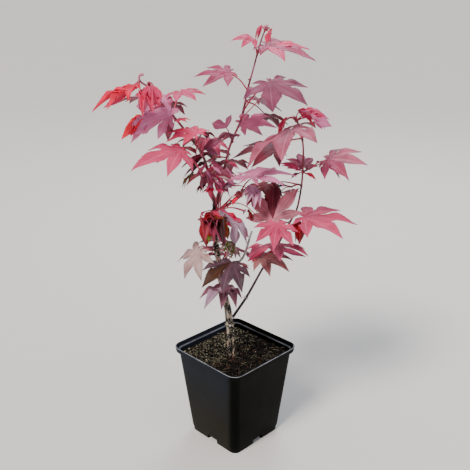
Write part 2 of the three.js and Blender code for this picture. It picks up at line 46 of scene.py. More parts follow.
def linear(hexColour):
    value = hexColour.lstrip("#")
    channels = [int(value[i:i + 2], 16) / 255 for i in (0, 2, 4)]
    return [c / 12.92 if c <= 0.04045 else ((c + 0.055) / 1.055) ** 2.4 for c in channels] + [1.0]


def addNode(tree, kind, inputs=None, **settings):
    node = tree.nodes.new(kind)
    for key, value in settings.items():
        setattr(node, key, value)
    for key, value in (inputs or {}).items():
        if isinstance(value, bpy.types.NodeSocket):
            tree.links.new(value, node.inputs[key])
        else:
            node.inputs[key].default_value = value
    return node


# the nodes used most, each by a short call that gives its output
def maths(tree, operation, *values):
    return addNode(tree, "ShaderNodeMath", dict(enumerate(values)), operation=operation).outputs[0]


def scaled(tree, vector, factors):
    return addNode(tree, "ShaderNodeVectorMath", {0: vector, 1: factors}, operation="MULTIPLY").outputs[0]


def mapped(tree, value, low, high, start=0.0, end=1.0):
    inputs = {"Value": value, "From Min": low, "From Max": high, "To Min": start, "To Max": end}
    return addNode(tree, "ShaderNodeMapRange", inputs).outputs[0]


def blended(tree, share, first, second):
    return addNode(tree, "ShaderNodeMix", {0: share, 6: first, 7: second}, data_type="RGBA").outputs[2]


# noise with clouds of the given size in mm
def clouded(tree, place, size, detail=2.0, roughness=0.5):
    inputs = {"Vector": place, "Scale": 1 / (size * mm), "Detail": detail, "Roughness": roughness}
    return addNode(tree, "ShaderNodeTexNoise", inputs).outputs[0]


def surfacePlace(tree):
    return addNode(tree, "ShaderNodeTexCoord").outputs["Object"]


def axesOf(tree, vector):
    return addNode(tree, "ShaderNodeSeparateXYZ", {0: vector}).outputs


def newMaterial(name, shaderInputs):
    material = bpy.data.materials.new(name)
    material.use_nodes = True
    tree = material.node_tree
    tree.nodes.clear()
    shader = addNode(tree, "ShaderNodeBsdfPrincipled", shaderInputs)
    addNode(tree, "ShaderNodeOutputMaterial", {"Surface": shader.outputs[0]})
    return material, tree, shader


# colour, and relief in mm that only the light shows
def dressShader(tree, shader, colour, height, strength, depth):
    tree.links.new(colour, shader.inputs["Base Color"])
    bump = addNode(tree, "ShaderNodeBump", {"Height": height, "Strength": strength, "Distance": depth * mm})
    tree.links.new(bump.outputs[0], shader.inputs["Normal"])


def newObject(name, data):
    made = bpy.data.objects.new(name, data)
    bpy.context.scene.collection.objects.link(made)
    return made


def meshObject(name, points, faces, materials=(), uvs=None, smooth=True):
    mesh = bpy.data.meshes.new(name)
    mesh.from_pydata([[c * mm for c in p] for p in points], [], faces)
    for material in materials:
        mesh.materials.append(material)
    if uvs is not None:
        layer = mesh.uv_layers.new(name="veins")
        layer.data.foreach_set("uv", [c for face in uvs for corner in face for c in corner])
    if smooth:
        mesh.shade_smooth()
    return newObject(name, mesh)


def bakePiece(source, name=None):
    bpy.context.view_layer.update()
    evaluated = source.evaluated_get(bpy.context.evaluated_depsgraph_get())
    mesh = bpy.data.meshes.new_from_object(evaluated)
    name = name or source.name
    bpy.data.objects.remove(source)
    mesh.name = name
    return newObject(name, mesh)


def newTree(name, inputs):
    tree = bpy.data.node_groups.new(name, "GeometryNodeTree")
    tree.interface.new_socket(name="Geometry", in_out="INPUT", socket_type="NodeSocketGeometry")
    for label, kind in inputs:
        tree.interface.new_socket(name=label, in_out="INPUT", socket_type="NodeSocket" + kind)
    tree.interface.new_socket(name="Geometry", in_out="OUTPUT", socket_type="NodeSocketGeometry")
    return tree, addNode(tree, "NodeGroupInput").outputs


def endTree(tree, geometry, material):
    real = addNode(tree, "GeometryNodeRealizeInstances", {0: geometry}).outputs[0]
    dressed = addNode(tree, "GeometryNodeSetMaterial", {"Geometry": real, "Material": material}).outputs[0]
    addNode(tree, "NodeGroupOutput", {0: dressed})


def growWith(source, tree, values, name):
    modifier = source.modifiers.new("grow", "NODES")
    modifier.node_group = tree
    for item in tree.interface.items_tree:
        if item.in_out == "INPUT" and item.name in values:
            modifier[item.identifier] = values[item.name]
    source.update_tag()
    return bakePiece(source, name)


def keepPiece(piece, slotName, *nodes):
    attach(piece, "root")
    if nodes:
        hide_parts(*nodes)


# limbs: the source's own paths, knots [x, y, z, radius] in mm

plant = {
    "groundHeight": 85,
    "seatGap": 0.3,
    "forkKnot": 10,
    "leftBoughKnot": 16,
    "topBoughKnot": 5,
    "rightStemKnot": 9,
    "crowding": 4,  # mm that seeded leaves keep from others
    "markStep": 0.25,  # knots between the marks along a limb
    "swellReach": 0.09,  # knots over which a limb swells where something grows from it
    "joinReach": 2.5,  # mm within which a twig starts on a limb
}
soil = plant["groundHeight"] + plant["seatGap"]
plantTop = 420.0

mainStem = [
    (-5.4, -2, soil, 3), (-5.7, -2, 90, 1.95), (-6.2, -1, 104, 1.8), (-6, 0, 115, 2.1),
    (-5.4, 0, 121, 3.9), (-5.9, 0, 128, 3.7), (-6.8, 0, 136, 3.45), (-11.2, 0, 158, 3.1),
    (-17, 0, 199, 2.5), (-20, 0, 234, 2.1), (-18.5, 0, 244, 2.1), (-20, -1.5, 251, 1.5),
    (-22.6, -4, 267, 1.4), (-26, -5, 284, 1.3), (-30.2, -6, 295, 1.2), (-43, -8, 314, 1.1),
    (-50.4, -10, 324.3, 1.1), (-62.7, -12, 338.5, 0.95), (-73.5, -14, 353.4, 0.85),
    (-80, -16, 359, 0.8), (-80.5, -16.5, 363.5, 0.6),
]
topLeader = [
    (-16.7, 0.4, 244.8, 1.4), (-14, 1, 258, 1.3), (-9.2, 2, 280.2, 1.2), (-5.8, 3, 294.6, 1.2),
    (-2.3, 3, 304.6, 1.15), (5.7, 3, 323.5, 1.1), (10.9, 2, 348.7, 1), (15, 1, 364, 0.9),
    (18.9, 0, 379, 0.85), (21.5, 0, 388.5, 0.75), (25.1, 0, 398.4, 0.7), (27.7, 0, 403, 0.5),
]
rightLeader = [
    (-5.8, 1, 121, 1.75), (-1, 4, 128.4, 1.75), (10.7, 5, 147, 1.65), (27.8, 4, 181, 1.3),
    (37.9, 3, 198.4, 1.25), (51.3, 2, 226.6, 1.2), (57, 2, 238.4, 1.2), (60.5, 2, 258.7, 1.15),
    (61.5, 2, 274.8, 1.15), (60.6, 2, 302.6, 1.05), (54.4, 0, 322.3, 0.9), (51.6, 0, 324.5, 0.7),
]
secondStem = [
    (-1.2, -3.4, soil, 1.5), (-1.5, -3, 92, 1.15), (-1.7, -2, 106, 1.05), (-1.6, -1, 115, 1.05),
    (-3.4, -1, 121.5, 1.05),
]
deadTwig = [(-15.5, 0, 178, 1.3), (-8, 4, 180, 1.25), (6, 6, 187, 1.2), (16, 8, 215.5, 1.1)]

limbs = {
    "trunk": (mainStem, 0, plant["forkKnot"]),
    "left_bough": (mainStem, plant["forkKnot"], plant["leftBoughKnot"]),
    "top_bough": (topLeader, 0, plant["topBoughKnot"]),
    "right_stem": (rightLeader, 0, plant["rightStemKnot"]),
    "second_stem": (secondStem, 0, len(secondStem) - 1),
    "dead_twig": (deadTwig, 0, len(deadTwig) - 1),
}


# the point on a centripetal curve through the knots, as in the source
def curvePoint(path, t):
    last = len(path) - 1
    place = last * t
    knot = min(int(math.floor(place)), last - 1)
    weight = place - knot
    known = [np.array(p[:3], float) for p in path]
    p1, p2 = known[knot], known[knot + 1]
    p0 = known[knot - 1] if knot > 0 else 2 * known[0] - known[1]
    p3 = known[knot + 2] if knot + 2 <= last else 2 * known[last] - known[last - 1]
    d0, d1, d2 = (math.sqrt(np.linalg.norm(b - a)) for a, b in ((p0, p1), (p1, p2), (p2, p3)))
    t1 = ((p1 - p0) / d0 - (p2 - p0) / (d0 + d1) + (p2 - p1) / d1) * d1
    t2 = ((p2 - p1) / d1 - (p3 - p1) / (d1 + d2) + (p3 - p2) / d2) * d1
    cubic = 2 * p1 - 2 * p2 + t1 + t2
    square = -3 * p1 + 3 * p2 - 2 * t1 - t2
    return ((cubic * weight + square) * weight + t1) * weight + p1


def placeOn(path, place):
    last = len(path) - 1
    point = curvePoint(path, min(max(place / last, 0), 1))
    knot = min(int(math.floor(place)), last - 1)
    radius = path[knot][3] + (path[knot + 1][3] - path[knot][3]) * (place - knot)
    return point, radius


def limbMarks(path, start, end):
    step = plant["markStep"]
    return [placeOn(path, start + step * i)[0] for i in range(int(round((end - start) / step)) + 1)]


# leaves: the source's leaf frame and rule, with the stalk's end at the origin and the middle lobe along
# +X; sizes are shares of the lobe's length unless a note says mm

leafForm = {
    "lobeAngles": [-118, -78, -38, 0, 38, 78, 118],
    "lobeLengths": [0.3, 0.64, 0.88, 1, 0.88, 0.64, 0.3],
    "places": [0.4, 0.5, 0.6, 0.7, 0.8, 0.88, 0.94, 0.975, 1],  # along a lobe, and half its width there
    "widths": [0.132, 0.144, 0.133, 0.104, 0.068, 0.036, 0.017, 0.007, 0],
    "columns": (-1, -0.5, 0, 0.5, 1),
    "innerRows": 4,  # from the heart to the sinus, then on to the tip
    "outerRows": 26,
    "thickness": 0.32,
    "weld": 0.02,  # mm
    "fold": 0.42,
    "gatheredFold": 0.9,  # the fold of a lobe that is gathered wholly
    "gatherCurve": 0.9,
    "sinusRib": 0.94,  # the rib passes the sinus a little before the edge does
    "sinusClear": 0.01,
    "sinusFade": 0.22,  # lobe lengths over which the joint with the next lobe fades
    "sinusLift": 0.0255,
    "sinusFold": 0.15,
    "outerSinus": 0.115,  # half the width at the sinus on the side that has no neighbour
    "outerCurve": 0.6,
    "toothDepth": 0.021,
    "toothChance": (0.6, 0.9),
    "toothShift": 0.013,
    "toothFade": 2.6,
    "toothEnd": 0.96,
    "edgeWave": 0.012,
    "waves": 1.7,
}
plainLeaf = {"drop": 15, "roll": 0, "curl": 28, "fan": 1, "skew": 0, "reach": 1, "wide": 1.1,
             "sinus": 0.36, "tint": "roseMauve"}
seededForm = {  # leaves set by a seed: plain values and the spans that chance adds, in degrees and mm
    "bearingChance": 20,
    "firstSpread": 0.2,
    "stalk": 16,
    "stalkChance": 8,
    "stalkGrowth": 16,
    "rise": -12,
    "riseChance": 40,
    "headingChance": 30,
    "drop": 18,
    "dropChance": 30,
    "rollChance": 30,
    "bladeChance": 0.22,
    "tipStep": 1.1,  # knots back from the twig's end, then between neighbours
    "nextStep": 0.5,
    # the seeded leaves sit behind the crown and take darker, duller tints, which paint in the shade there
    "tints": ("dullRose", "roseMauve", "dullRed"),
}


# the source's own generator, so that both draw the same leaves
def seededRandom(seed):
    state = [seed]

    def draw():
        state[0] = (state[0] * 1664525 + 1013904223) & 0xFFFFFFFF
        return state[0] / 4294967296
    return draw


def bearingVector(bearing, rise):
    level = math.cos(rad(rise))
    return np.array([level * math.cos(rad(bearing)), level * math.sin(rad(bearing)), math.sin(rad(rise))])


def bladeFrame(leaf):
    turn = Matrix.Rotation(rad(leaf["heading"]), 3, "Z") @ Matrix.Rotation(rad(leaf["drop"]), 3, "Y")
    return np.array(turn @ Matrix.Rotation(rad(leaf["roll"]), 3, "X"))


def bladeLobes(leaf):
    lobes = []
    for angle, share in zip(leafForm["lobeAngles"], leafForm["lobeLengths"]):
        sideways = np.sign(angle) * min(abs(angle) / 60, 1)
        stretch = leaf["reach"] if angle == 0 else 1 + leaf["skew"] * sideways
        lobes.append((rad(angle * leaf["fan"]), leaf["blade"] * share * stretch))
    return [lobes[i] for i in leaf["kept"]] if "kept" in leaf else lobes


def onBlade(leaf, radius, angle, length, lift):
    curve = rad(max(leaf["curl"], 1)) / length
    out = math.sin(curve * radius) / curve
    down = (1 - math.cos(curve * radius)) / curve
    point = np.array([out * math.cos(angle), out * math.sin(angle), lift - down])
    return leaf["turn"] @ point + leaf["base"]


def leafMarks(leaf):
    marks = [leaf["node"] + (leaf["base"] - leaf["node"]) * part for part in (0.3, 0.5, 0.75, 1)]
    for angle, length in bladeLobes(leaf):
        marks += [onBlade(leaf, length * part, angle, length, 0) for part in (0.35, 0.7, 1)]
    return marks


def growLeaf(stem, settings):
    leaf = {**plainLeaf, **settings}
    leaf["node"] = placeOn(stem, leaf["at"])[0]
    if "spot" in leaf:
        leaf["base"] = np.array(leaf["spot"], float)
        leaf["stalk"] = float(np.linalg.norm(leaf["base"] - leaf["node"]))
    else:
        leaf.setdefault("heading", leaf["bearing"])
        leaf["base"] = bearingVector(leaf["bearing"], leaf["rise"]) * leaf["stalk"] + leaf["node"]
    leaf["turn"] = bladeFrame(leaf)
    return leaf


def seededLeaves(stem, tries, facing, spread, seed, blade, at=None):
    form, random = seededForm, seededRandom(seed)

    def chance(kind):
        return (random() - 0.5) * form[kind + "Chance"]

    leaves = []
    for i in range(tries):
        grown = i / tries
        side = 1 if i % 2 else -1
        away = form["firstSpread"] + (1 - form["firstSpread"]) * grown
        bearing = facing + side * spread * away + chance("bearing")
        settings = {
            "at": at if at is not None else len(stem) - form["tipStep"] - form["nextStep"] * (i % 3),
            "bearing": bearing,
            "stalk": form["stalk"] + chance("stalk") + form["stalkGrowth"] * grown,
            "rise": chance("rise") + form["rise"],
            "heading": bearing + chance("heading"),
            "drop": form["drop"] + chance("drop"),
            "roll": chance("roll"),
            "blade": blade * (1 + chance("blade")),
            "tint": form["tints"][i % len(form["tints"])],
        }
        leaves.append(growLeaf(stem, settings))
    return leaves


def leafOf(at, stalk, bearing, rise, **rest):
    return {"at": at, "stalk": stalk, "bearing": bearing, "rise": rise, **rest}


# a small late leaf too fine for the source: its place on the twig, then where its blade starts
def lateLeaf(at, spot, heading, drop, blade, tint, **rest):
    return {"at": at, "spot": spot, "heading": heading, "drop": drop, "blade": blade, "tint": tint, **rest}


# one lobe of a folded leaf, standing clear of the others: in the lists below these are the rows of plain
# values, and the order of the rows is the order in which chance is drawn
def singleLobe(at, spot, heading, drop, roll, blade, tint, wide):
    return lateLeaf(at, spot, heading, drop, blade, tint, roll=roll, wide=wide, curl=18, kept=[3])


masses = {
    "left_tip_leaves": {
        "stem": mainStem, "start": plant["leftBoughKnot"],
        "leaves": [
            leafOf(16.3, 8, 254, 8, heading=193, drop=9, roll=-53, blade=37, curl=57, fan=1.2, skew=-0.45,
                   reach=1.26, wide=1.3, sinus=0.44, tint="palePink"),
            leafOf(17, 14, 110, -40, heading=198, drop=17, blade=41, fan=0.5, wide=1.5, tint="litRed"),
            leafOf(16.3, 25, 69, 48, heading=304, drop=6, roll=7, blade=27, curl=8, fan=1.07,
                   tint="brightPink"),
            leafOf(18, 16, 273, 9, heading=269, drop=8, roll=7, blade=37, curl=31, fan=0.32, skew=0.41,
                   reach=1.22, wide=1.45, tint="coral"),
            leafOf(19, 18, 268, -1, heading=205, drop=16, roll=3, blade=39, curl=22, fan=0.7, skew=0.2,
                   reach=1.11, wide=1.3, tint="crimson"),
        ],
        "seeded": {"tries": 8, "facing": 105, "spread": 30, "seed": 38, "blade": 30, "at": 17},
        "late": [
            (18, (-69.4, -52, 361), 231, 82, -34, 16, "brightPink", 1.7),
            (18, (-66.6, -52, 361.4), 325, 76, 36, 15, "pinkRed", 1.9),
            (18, (-64.3, -52, 360.2), 342, 58, 49, 13, "coral", 1.4),
            (18, (-72.7, -36, 357.8), 212, 76, -48, 25, "brightPink", 1.1),
            (18, (-70.9, -37, 357.9), 306, 76, 22, 21, "pinkRed", 1.2),
            (18, (-69.4, -36, 357.8), 335, 61, 44, 19, "coral", 1.1),
            (18, (-71.6, -38, 358.1), 254, 79, -17, 19, "palePink", 0.8),
            (18, (-68.7, -35, 356.8), 314, 70, 28, 17, "brightPink", 1),
            lateLeaf(16, (-50.8, -15, 325.7), 10, -12, 13, "coral", wide=1.4),
            (19, (-79.9, -37, 357.1), 182, 28, -64, 35, "brightPink", 0.7),
            (19, (-82.5, -18, 355.9), 191, 14, -42, 22, "brightPink", 0.9),
            (16.3, (-72.9, -17, 327), 189, 45, -44, 28, "palePink", 0.9),
            (16.3, (-54.4, -12, 326.9), 216, 71, -32, 21, "dustyPink", 1.3),
            (17, (-82.8, -14, 324.7), 187, 40, -44, 23, "litRed", 1.2),
        ],
    },
    "left_front_leaves": {
        "stem": [(-22.6, -4, 267, 1), (-25, -8, 271, 0.9), (-28, -13, 275, 0.8)],
        "leaves": [
            leafOf(1.9, 46, 239, 42, heading=210, drop=0, roll=-18, blade=36, curl=35, fan=1.2, skew=0.03,
                   reach=1.3, wide=1.2, sinus=0.4, tint="pinkRed"),
            leafOf(1.5, 12, 190, 25, heading=180, drop=35, blade=18, curl=40, fan=0.7, tint="wilted"),
        ],
        "late": [
            lateLeaf(0.5, (-25.1, -6, 277.9), 232, 48, 20, "dustyPink", roll=30, wide=1.2),
            lateLeaf(0.3, (-27.9, -8, 266.4), 215, 30, 11, "bronzeRed", fan=0.6),
            (0.3, (-20.3, -14, 284.7), 347, 34, 52, 11, "palePink", 0.8),
            (0.3, (-23.1, -14, 275.5), 347, 19, 52, 10, "creamPink", 0.6),
            (0.3, (-18.7, -14, 271.9), 346, 31, 51, 10, "palePink", 0.7),
            (0.3, (-25.6, -14, 281), 339, 58, 46, 11, "greyPink", 0.7),
            (0.3, (-15.1, -14, 275.5), 351, 13, 54, 13, "creamPink", 0.6),
            (0.3, (-22.3, -14, 268.2), 204, 58, -47, 9, "brightPink", 0.7),
            (0.3, (-24.1, -9, 277.8), 200, 70, -51, 16, "rosePink", 1),
            (0.3, (-20.5, -9, 279.7), 225, 82, -34, 21, "pinkRed", 0.8),
            (0.3, (-19.7, -9, 273.2), 346, 64, 52, 19, "rosePink", 0.9),
            (0.3, (-26, -9, 270.4), 347, 49, 51, 14, "palePink", 0.8),
            (0.3, (-15.1, -9, 281.5), 351, 31, 54, 15, "dustyPink", 1.1),
            (0.3, (-22.2, -9, 288.8), 350, 40, 53, 15, "rosePink", 1),
            (0.3, (-11.6, -9, 277.8), 352, 46, 55, 19, "palePink", 0.9),
            (0.3, (-17.8, -9, 284.3), 191, 43, -55, 14, "pinkRed", 1),
            (0.3, (-17, -9, 268.6), 350, 37, 52, 15, "dustyPink", 0.9),
            (0.3, (-25.2, -9, 264.8), 339, 67, 46, 15, "pinkRed", 0.7),
            (0.3, (-25.8, -9, 285.2), 191, 49, -56, 15, "rosePink", 0.9),
            (0.3, (-18.8, -9, 276), 349, 34, 52, 13, "brightPink", 0.8),
        ],
    },
    "left_inner_leaves": {
        "stem": [(-30.2, -6, 295, 0.9), (-30.8, -10, 298, 0.8), (-31.3, -14, 301.5, 0.7)],
        "leaves": [
            leafOf(1.9, 22, 262, 44, heading=147, drop=-6, roll=-9, blade=32, curl=24, fan=1.13, skew=-0.1,
                   wide=1.2, tint="coral"),
        ],
    },
    "left_back_leaves": {
        "stem": [(-36, -7, 304, 0.9), (-33, -1, 306, 0.9), (-31, 6, 307, 0.8), (-30, 14, 310, 0.7)],
        "leaves": [
            leafOf(1.2, 14, 57, -14, heading=301, drop=15, blade=27, curl=25, fan=1.08, tint="brightPink"),
        ],
        "seeded": {"tries": 16, "facing": 120, "spread": 35, "seed": 102, "blade": 36},
    },
    "top_leaves": {
        "stem": topLeader, "start": plant["topBoughKnot"],
        "leaves": [
            leafOf(5.3, 38, 322, 44, heading=318, drop=14, roll=13, blade=43, curl=14, fan=1.16, skew=-0.18,
                   wide=1.35, sinus=0.46, tint="mauvePink"),
            leafOf(5.2, 14, 100, -55, heading=1, drop=-3, roll=-42, blade=33, curl=20, skew=-0.2,
                   wide=1.25, sinus=0.42, tint="greyPink"),
            leafOf(6, 24, 207, 43, heading=184, drop=4, roll=-18, blade=32, curl=6, fan=1.05, skew=0.19,
                   reach=0.96, tint="rosePink"),
            leafOf(8, 11, 15, 43, heading=337, drop=9, roll=9, blade=42, curl=11, fan=1.03, skew=0.15,
                   reach=1.09, wide=1.2, tint="rosePink", lobes={4: "coral", 2: "brightPink"}),
            leafOf(8, 16, 235, 63, heading=195, drop=-3, roll=-23, blade=17, curl=21, fan=1.15, skew=0.26,
                   reach=1.1, kept=[2, 3, 4, 5], wide=1.2, tint="brightPink"),
            leafOf(10, 6, 215, 58, heading=224, drop=39, blade=14, curl=40, fan=0.2, kept=[2, 3, 4],
                   wide=0.9, tint="brightPink"),
            leafOf(10, 7, 10, 20, heading=235, drop=52, blade=14, curl=30, fan=0.2, kept=[2, 3, 4],
                   wide=1.4, tint="coral"),
        ],
        "seeded": {"tries": 10, "facing": 35, "spread": 30, "seed": 72, "blade": 30, "at": 5.6},
        "late": [
            lateLeaf(8, (17.8, -2, 387.1), 188, 52, 5, "palePink", fan=0.4, wide=1.2),
            lateLeaf(10, (25.3, -1, 400.9), 20, -35, 5, "palePink", fan=0.5, wide=1.6, curl=80),
            (10, (23.1, -2, 403.7), 211, 63, -33, 13, "brightPink", 0.7),
            (10, (29.9, -2, 398.5), 206, 64, -36, 11, "coral", 1.8),
        ],
    },
    "centre_leaves": {
        "stem": [(-2.3, 3, 304.6, 0.9), (-4, -1, 307, 0.8), (-5.5, -5, 310, 0.7)],
        "leaves": [
            leafOf(1.9, 12, 260, 50, heading=145, drop=-7, roll=-62, blade=20, curl=25, kept=[1, 3],
                   wide=1.6, tint="mauvePink"),
            leafOf(1.7, 13, 320, 12, heading=212, drop=-10, roll=4, blade=28, curl=34, fan=0.35, wide=1.4,
                   tint="roseMauve"),
        ],
        "late": [
            (1.9, (-28, -14, 299.1), 353, -35, 48, 20, "mauvePink", 1.5),
            (1.9, (-28, -14, 300.9), 356, 20, 46, 15, "mauvePink", 1.3),
        ],
    },
    "centre_back_leaves": {
        "stem": [(-9.2, 2, 280.2, 0.9), (-8, 9, 284, 0.8), (-6, 17, 288, 0.7)],
        "leaves": [],
        "seeded": {"tries": 16, "facing": 100, "spread": 35, "seed": 104, "blade": 38},
        "late": [
            lateLeaf(1, (-18, -3, 274.3), 335, 38, 25, "rosePink", roll=-20, wide=1.25),
            lateLeaf(1, (-8, -5, 286), 182, 14, 13, "bronzeRed", fan=0.35, wide=1.6),
            lateLeaf(1, (-7.2, -5, 286), 350, 16, 13, "pinkRed", fan=0.35, wide=1.6),
            lateLeaf(1, (-14.4, -2, 277.8), 15, 20, 20, "palePink", roll=25, wide=1.2),
        ],
    },
    "centre_front_leaves": {
        "stem": [(-19.6, 0, 238, 0.9), (-10, -4, 243, 0.8), (0, -6, 252.6, 0.8), (4.5, -9, 257.3, 0.7)],
        "leaves": [
            leafOf(2.9, 32, 298, 43, heading=62, drop=-8, roll=-6, blade=48, fan=1.14, tint="palePink"),
            leafOf(2.6, 16, 350, 40, heading=281, drop=30, roll=-20, blade=26, curl=30, fan=0.5, wide=1.5,
                   tint="greyMauve"),
        ],
        "late": [
            lateLeaf(0.6, (-10.8, -9, 263), 18, -22, 16, "lilac", fan=0.5, wide=1.6),
            lateLeaf(0.8, (4.5, -9, 260.1), 250, 42, 8, "dullRed", fan=0.8, wide=1.2),
            lateLeaf(1, (5.4, -10, 262.3), 330, 30, 13, "creamPink", fan=0.5, wide=1.3),
            lateLeaf(0.3, (-19.8, -9, 263), 196, 8, 11, "crimson", fan=0.8, wide=1.4),
            lateLeaf(0.3, (-17.1, -9, 262), 345, 6, 10, "coral", fan=0.7, wide=1.5),
            lateLeaf(0.4, (-11.8, -7, 260.5), 75, -50, 12, "coral", fan=0.5, wide=1.4),
            lateLeaf(0.5, (1.8, -9, 254.5), 215, 42, 9, "crimson", fan=0.5, wide=1.5),
        ],
    },
    "right_tip_leaves": {
        "stem": rightLeader, "start": plant["rightStemKnot"],
        "leaves": [
            leafOf(9.15, 24, 238, 30, heading=214, drop=13, roll=13, blade=53, curl=32, fan=1.03,
                   skew=0.28, reach=1.09, wide=1.2, tint="warmPink"),
            leafOf(9.15, 32, 137, -26, heading=189, drop=-2, roll=-11, blade=43, curl=26, fan=1.08,
                   tint="bronzeRed"),
            leafOf(10, 13, 268, 52, heading=343, drop=12, roll=34, blade=34, fan=0.32, wide=1.35,
                   tint="coral", lobes={3: "brightPink", 4: "palePink"}),
            leafOf(10.9, 6, 190, 15, heading=217, drop=47, blade=19, curl=20, fan=0.22, kept=[2, 3, 4],
                   wide=1.2, tint="coral"),
        ],
        "seeded": {"tries": 8, "facing": 95, "spread": 35, "seed": 6, "blade": 30, "at": 9.5},
        "late": [
            lateLeaf(9.8, (55.3, 0, 319.2), 118, -48, 11, "brightPink", fan=0.2, wide=1.6),
            (10.9, (45.1, 2, 323.2), 196, 59, -42, 14, "coral", 1.2),
            (10, (66.9, -17, 327), 0, 19, 62, 18, "palePink", 1.6),
            (10, (64.9, -18, 331.5), 0, 49, 66, 18, "palePink", 1.1),
        ],
    },
    "right_side_leaves": {
        "stem": [(61.5, 2, 274.8, 0.9), (65, 1, 277, 0.8), (69, -1, 279.5, 0.7)],
        "leaves": [
            leafOf(1.9, 17, 339, 34, heading=329, drop=-10, roll=24, blade=38, curl=27, wide=1.2,
                   tint="warmPink", lobes={1: "rosePink", 2: "rosePink"}),
            leafOf(1, 15, 95, -5, heading=99, drop=-29, blade=25, curl=25, tint="rosePink"),
        ],
        "seeded": {"tries": 10, "facing": 60, "spread": 35, "seed": 6, "blade": 34},
        "late": [
            lateLeaf(0, (58.5, -4, 277.4), 165, -30, 20, "brightPink", fan=0.35, wide=1.5),
            lateLeaf(0, (61.6, 0, 274.9), 352, 14, 14, "crimson", fan=0.15, wide=1.5),
            lateLeaf(0, (59.8, 0, 274.9), 188, 16, 11, "dullRose", fan=0.15, wide=1.5),
        ],
    },
    "right_inner_leaves": {
        "stem": [(60.7, 2, 262, 0.9), (58, 9, 261, 0.8), (52, 14, 257, 0.7)],
        "leaves": [
            leafOf(1.9, 18, 146, -9, heading=248, drop=27, roll=37, blade=24, curl=30, tint="darkMaroon"),
        ],
        "seeded": {"tries": 14, "facing": 145, "spread": 35, "seed": 88, "blade": 36},
    },
    "right_front_leaves": {
        "stem": [(51.3, 2, 226.6, 0.9), (48, -6, 229, 0.8), (45, -14, 231.5, 0.7)],
        "leaves": [
            leafOf(1.9, 29, 251, 18, heading=262, drop=27, roll=-4, blade=33, curl=5, fan=0.9, reach=0.94,
                   wide=1.2, sinus=0.42, tint="pinkRed"),
            leafOf(1.4, 14, 200, 20, heading=90, drop=-51, roll=-17, blade=45, curl=20, wide=1.1,
                   tint="duskyRose", lobes={3: "bronzeRed", 2: "paleDusk"}),
        ],
    },
    "right_low_leaves": {
        "stem": [(48, 2.5, 219.5, 0.9), (52, -1, 221.5, 0.8), (56, -5, 225, 0.7)],
        "leaves": [
            leafOf(1.9, 15, 320, 50, heading=353, drop=-1, roll=6, blade=52, curl=15, fan=1.07, skew=-0.04,
                   reach=0.94, wide=1.2, sinus=0.42, tint="pinkRed"),
            leafOf(1.6, 13, 262, 42, heading=293, drop=47, roll=10, blade=22, curl=30, fan=0.2,
                   kept=[2, 3, 4], wide=2.2, tint="deepRed"),
        ],
        "late": [
            (1.6, (58.7, -8, 233.1), 316, 84, 38, 26, "deepRed", 1.1),
            (1.6, (56.8, -9, 230.5), 174, 42, -50, 12, "deepRed", 0.9),
        ],
    },
    "low_right_leaves": {
        "stem": [(37.9, 3, 198.4, 0.9), (36, -2, 199.5, 0.8), (34, -7, 201, 0.7)],
        "leaves": [
            leafOf(1.9, 19, 278, 42, heading=273, drop=-13, blade=45, curl=23, fan=1.16, tint="rosePink",
                   lobes={1: "pinkRed", 5: "dustyPink"}),
            leafOf(1.6, 11, 205, -15, heading=316, roll=11, drop=0, blade=34, curl=26, fan=0.92,
                   tint="brownPink"),
        ],
        "late": [
            lateLeaf(1, (30.9, -6, 197.7), 165, 20, 20, "crimson", fan=0.2, wide=1.5),
            (1, (32.5, -8, 206.5), 183, 32, -45, 27, "pinkRed", 0.9),
            (1, (34.4, -8, 205.5), 358, 13, 46, 35, "rosePink", 0.5),
        ],
    },
    "fork_leaves": {
        "stem": [(-19.6, 0, 237, 0.9), (-19, -4, 239, 0.8), (-17.5, -8, 241, 0.7)],
        "leaves": [
            leafOf(1.9, 15, 256, 12, heading=275, drop=13, roll=3, blade=43, curl=36, fan=0.36, skew=0.08,
                   reach=0.85, wide=2.4, tint="deepRed",
                   lobes={2: "dullRed", 3: "dullRose", 4: "darkMaroon", 5: "orangeBrown", 6: "coral"}),
            leafOf(1.7, 10, 310, 16, heading=332, drop=30, roll=-11, blade=40, curl=33, fan=0.63, wide=1.3,
                   tint="lilac", lobes={4: "coral", 5: "crimson"}),
        ],
        "late": [
            lateLeaf(1.9, (-28.3, -8, 239.8), 180, -30, 9, "brightPink", curl=250, wide=1.6),
            lateLeaf(1.9, (11.4, -7, 242.4), 350, 62, 12, "deepRed", fan=0.35, wide=1.8),
            lateLeaf(1.9, (10, -7, 242.4), 190, 52, 6, "lilac", fan=0.3, wide=1.8),
            lateLeaf(1.9, (-19.3, -11, 219.5), 205, 22, 12, "freshGreen", fan=0.6, wide=1.8),
            (1.9, (-25.5, -10, 239.6), 242, 82, -15, 34, "deepRed", 1.25),
            (1.9, (-21.8, -11, 238.9), 303, 78, 27, 23, "dustyPink", 1.3),
            (1.9, (-18.2, -12, 237.4), 339, 69, 50, 32, "rosePink", 0.9),
            (1.9, (-14.6, -11, 238.9), 335, 73, 48, 24, "darkMaroon", 1.4),
            (1.9, (-10.9, -12, 232.5), 340, 72, 51, 19, "orangeBrown", 1.2),
            (1.7, (-14.4, -15, 245.1), 0, 49, 58, 26, "coral", 1.3),
            (1.7, (-1.8, -13, 230), 340, 82, 54, 22, "lilac", 1.5),
            (1.7, (0.9, -13, 231.9), 356, 48, 52, 20, "lilac", 1.1),
        ],
    },
    "low_left_leaves": {
        "stem": [(-17, 0, 199.3, 0.9), (-21, -5, 201, 0.8), (-24, -10, 203, 0.7)],
        "leaves": [
            leafOf(1.9, 17, 238, 13, heading=195, drop=47, roll=-23, blade=31, curl=33, fan=1.25, wide=1.2,
                   tint="creamPink"),
        ],
        "seeded": {"tries": 8, "facing": 120, "spread": 40, "seed": 86, "blade": 30, "at": 1},
    },
    "low_front_leaves": {
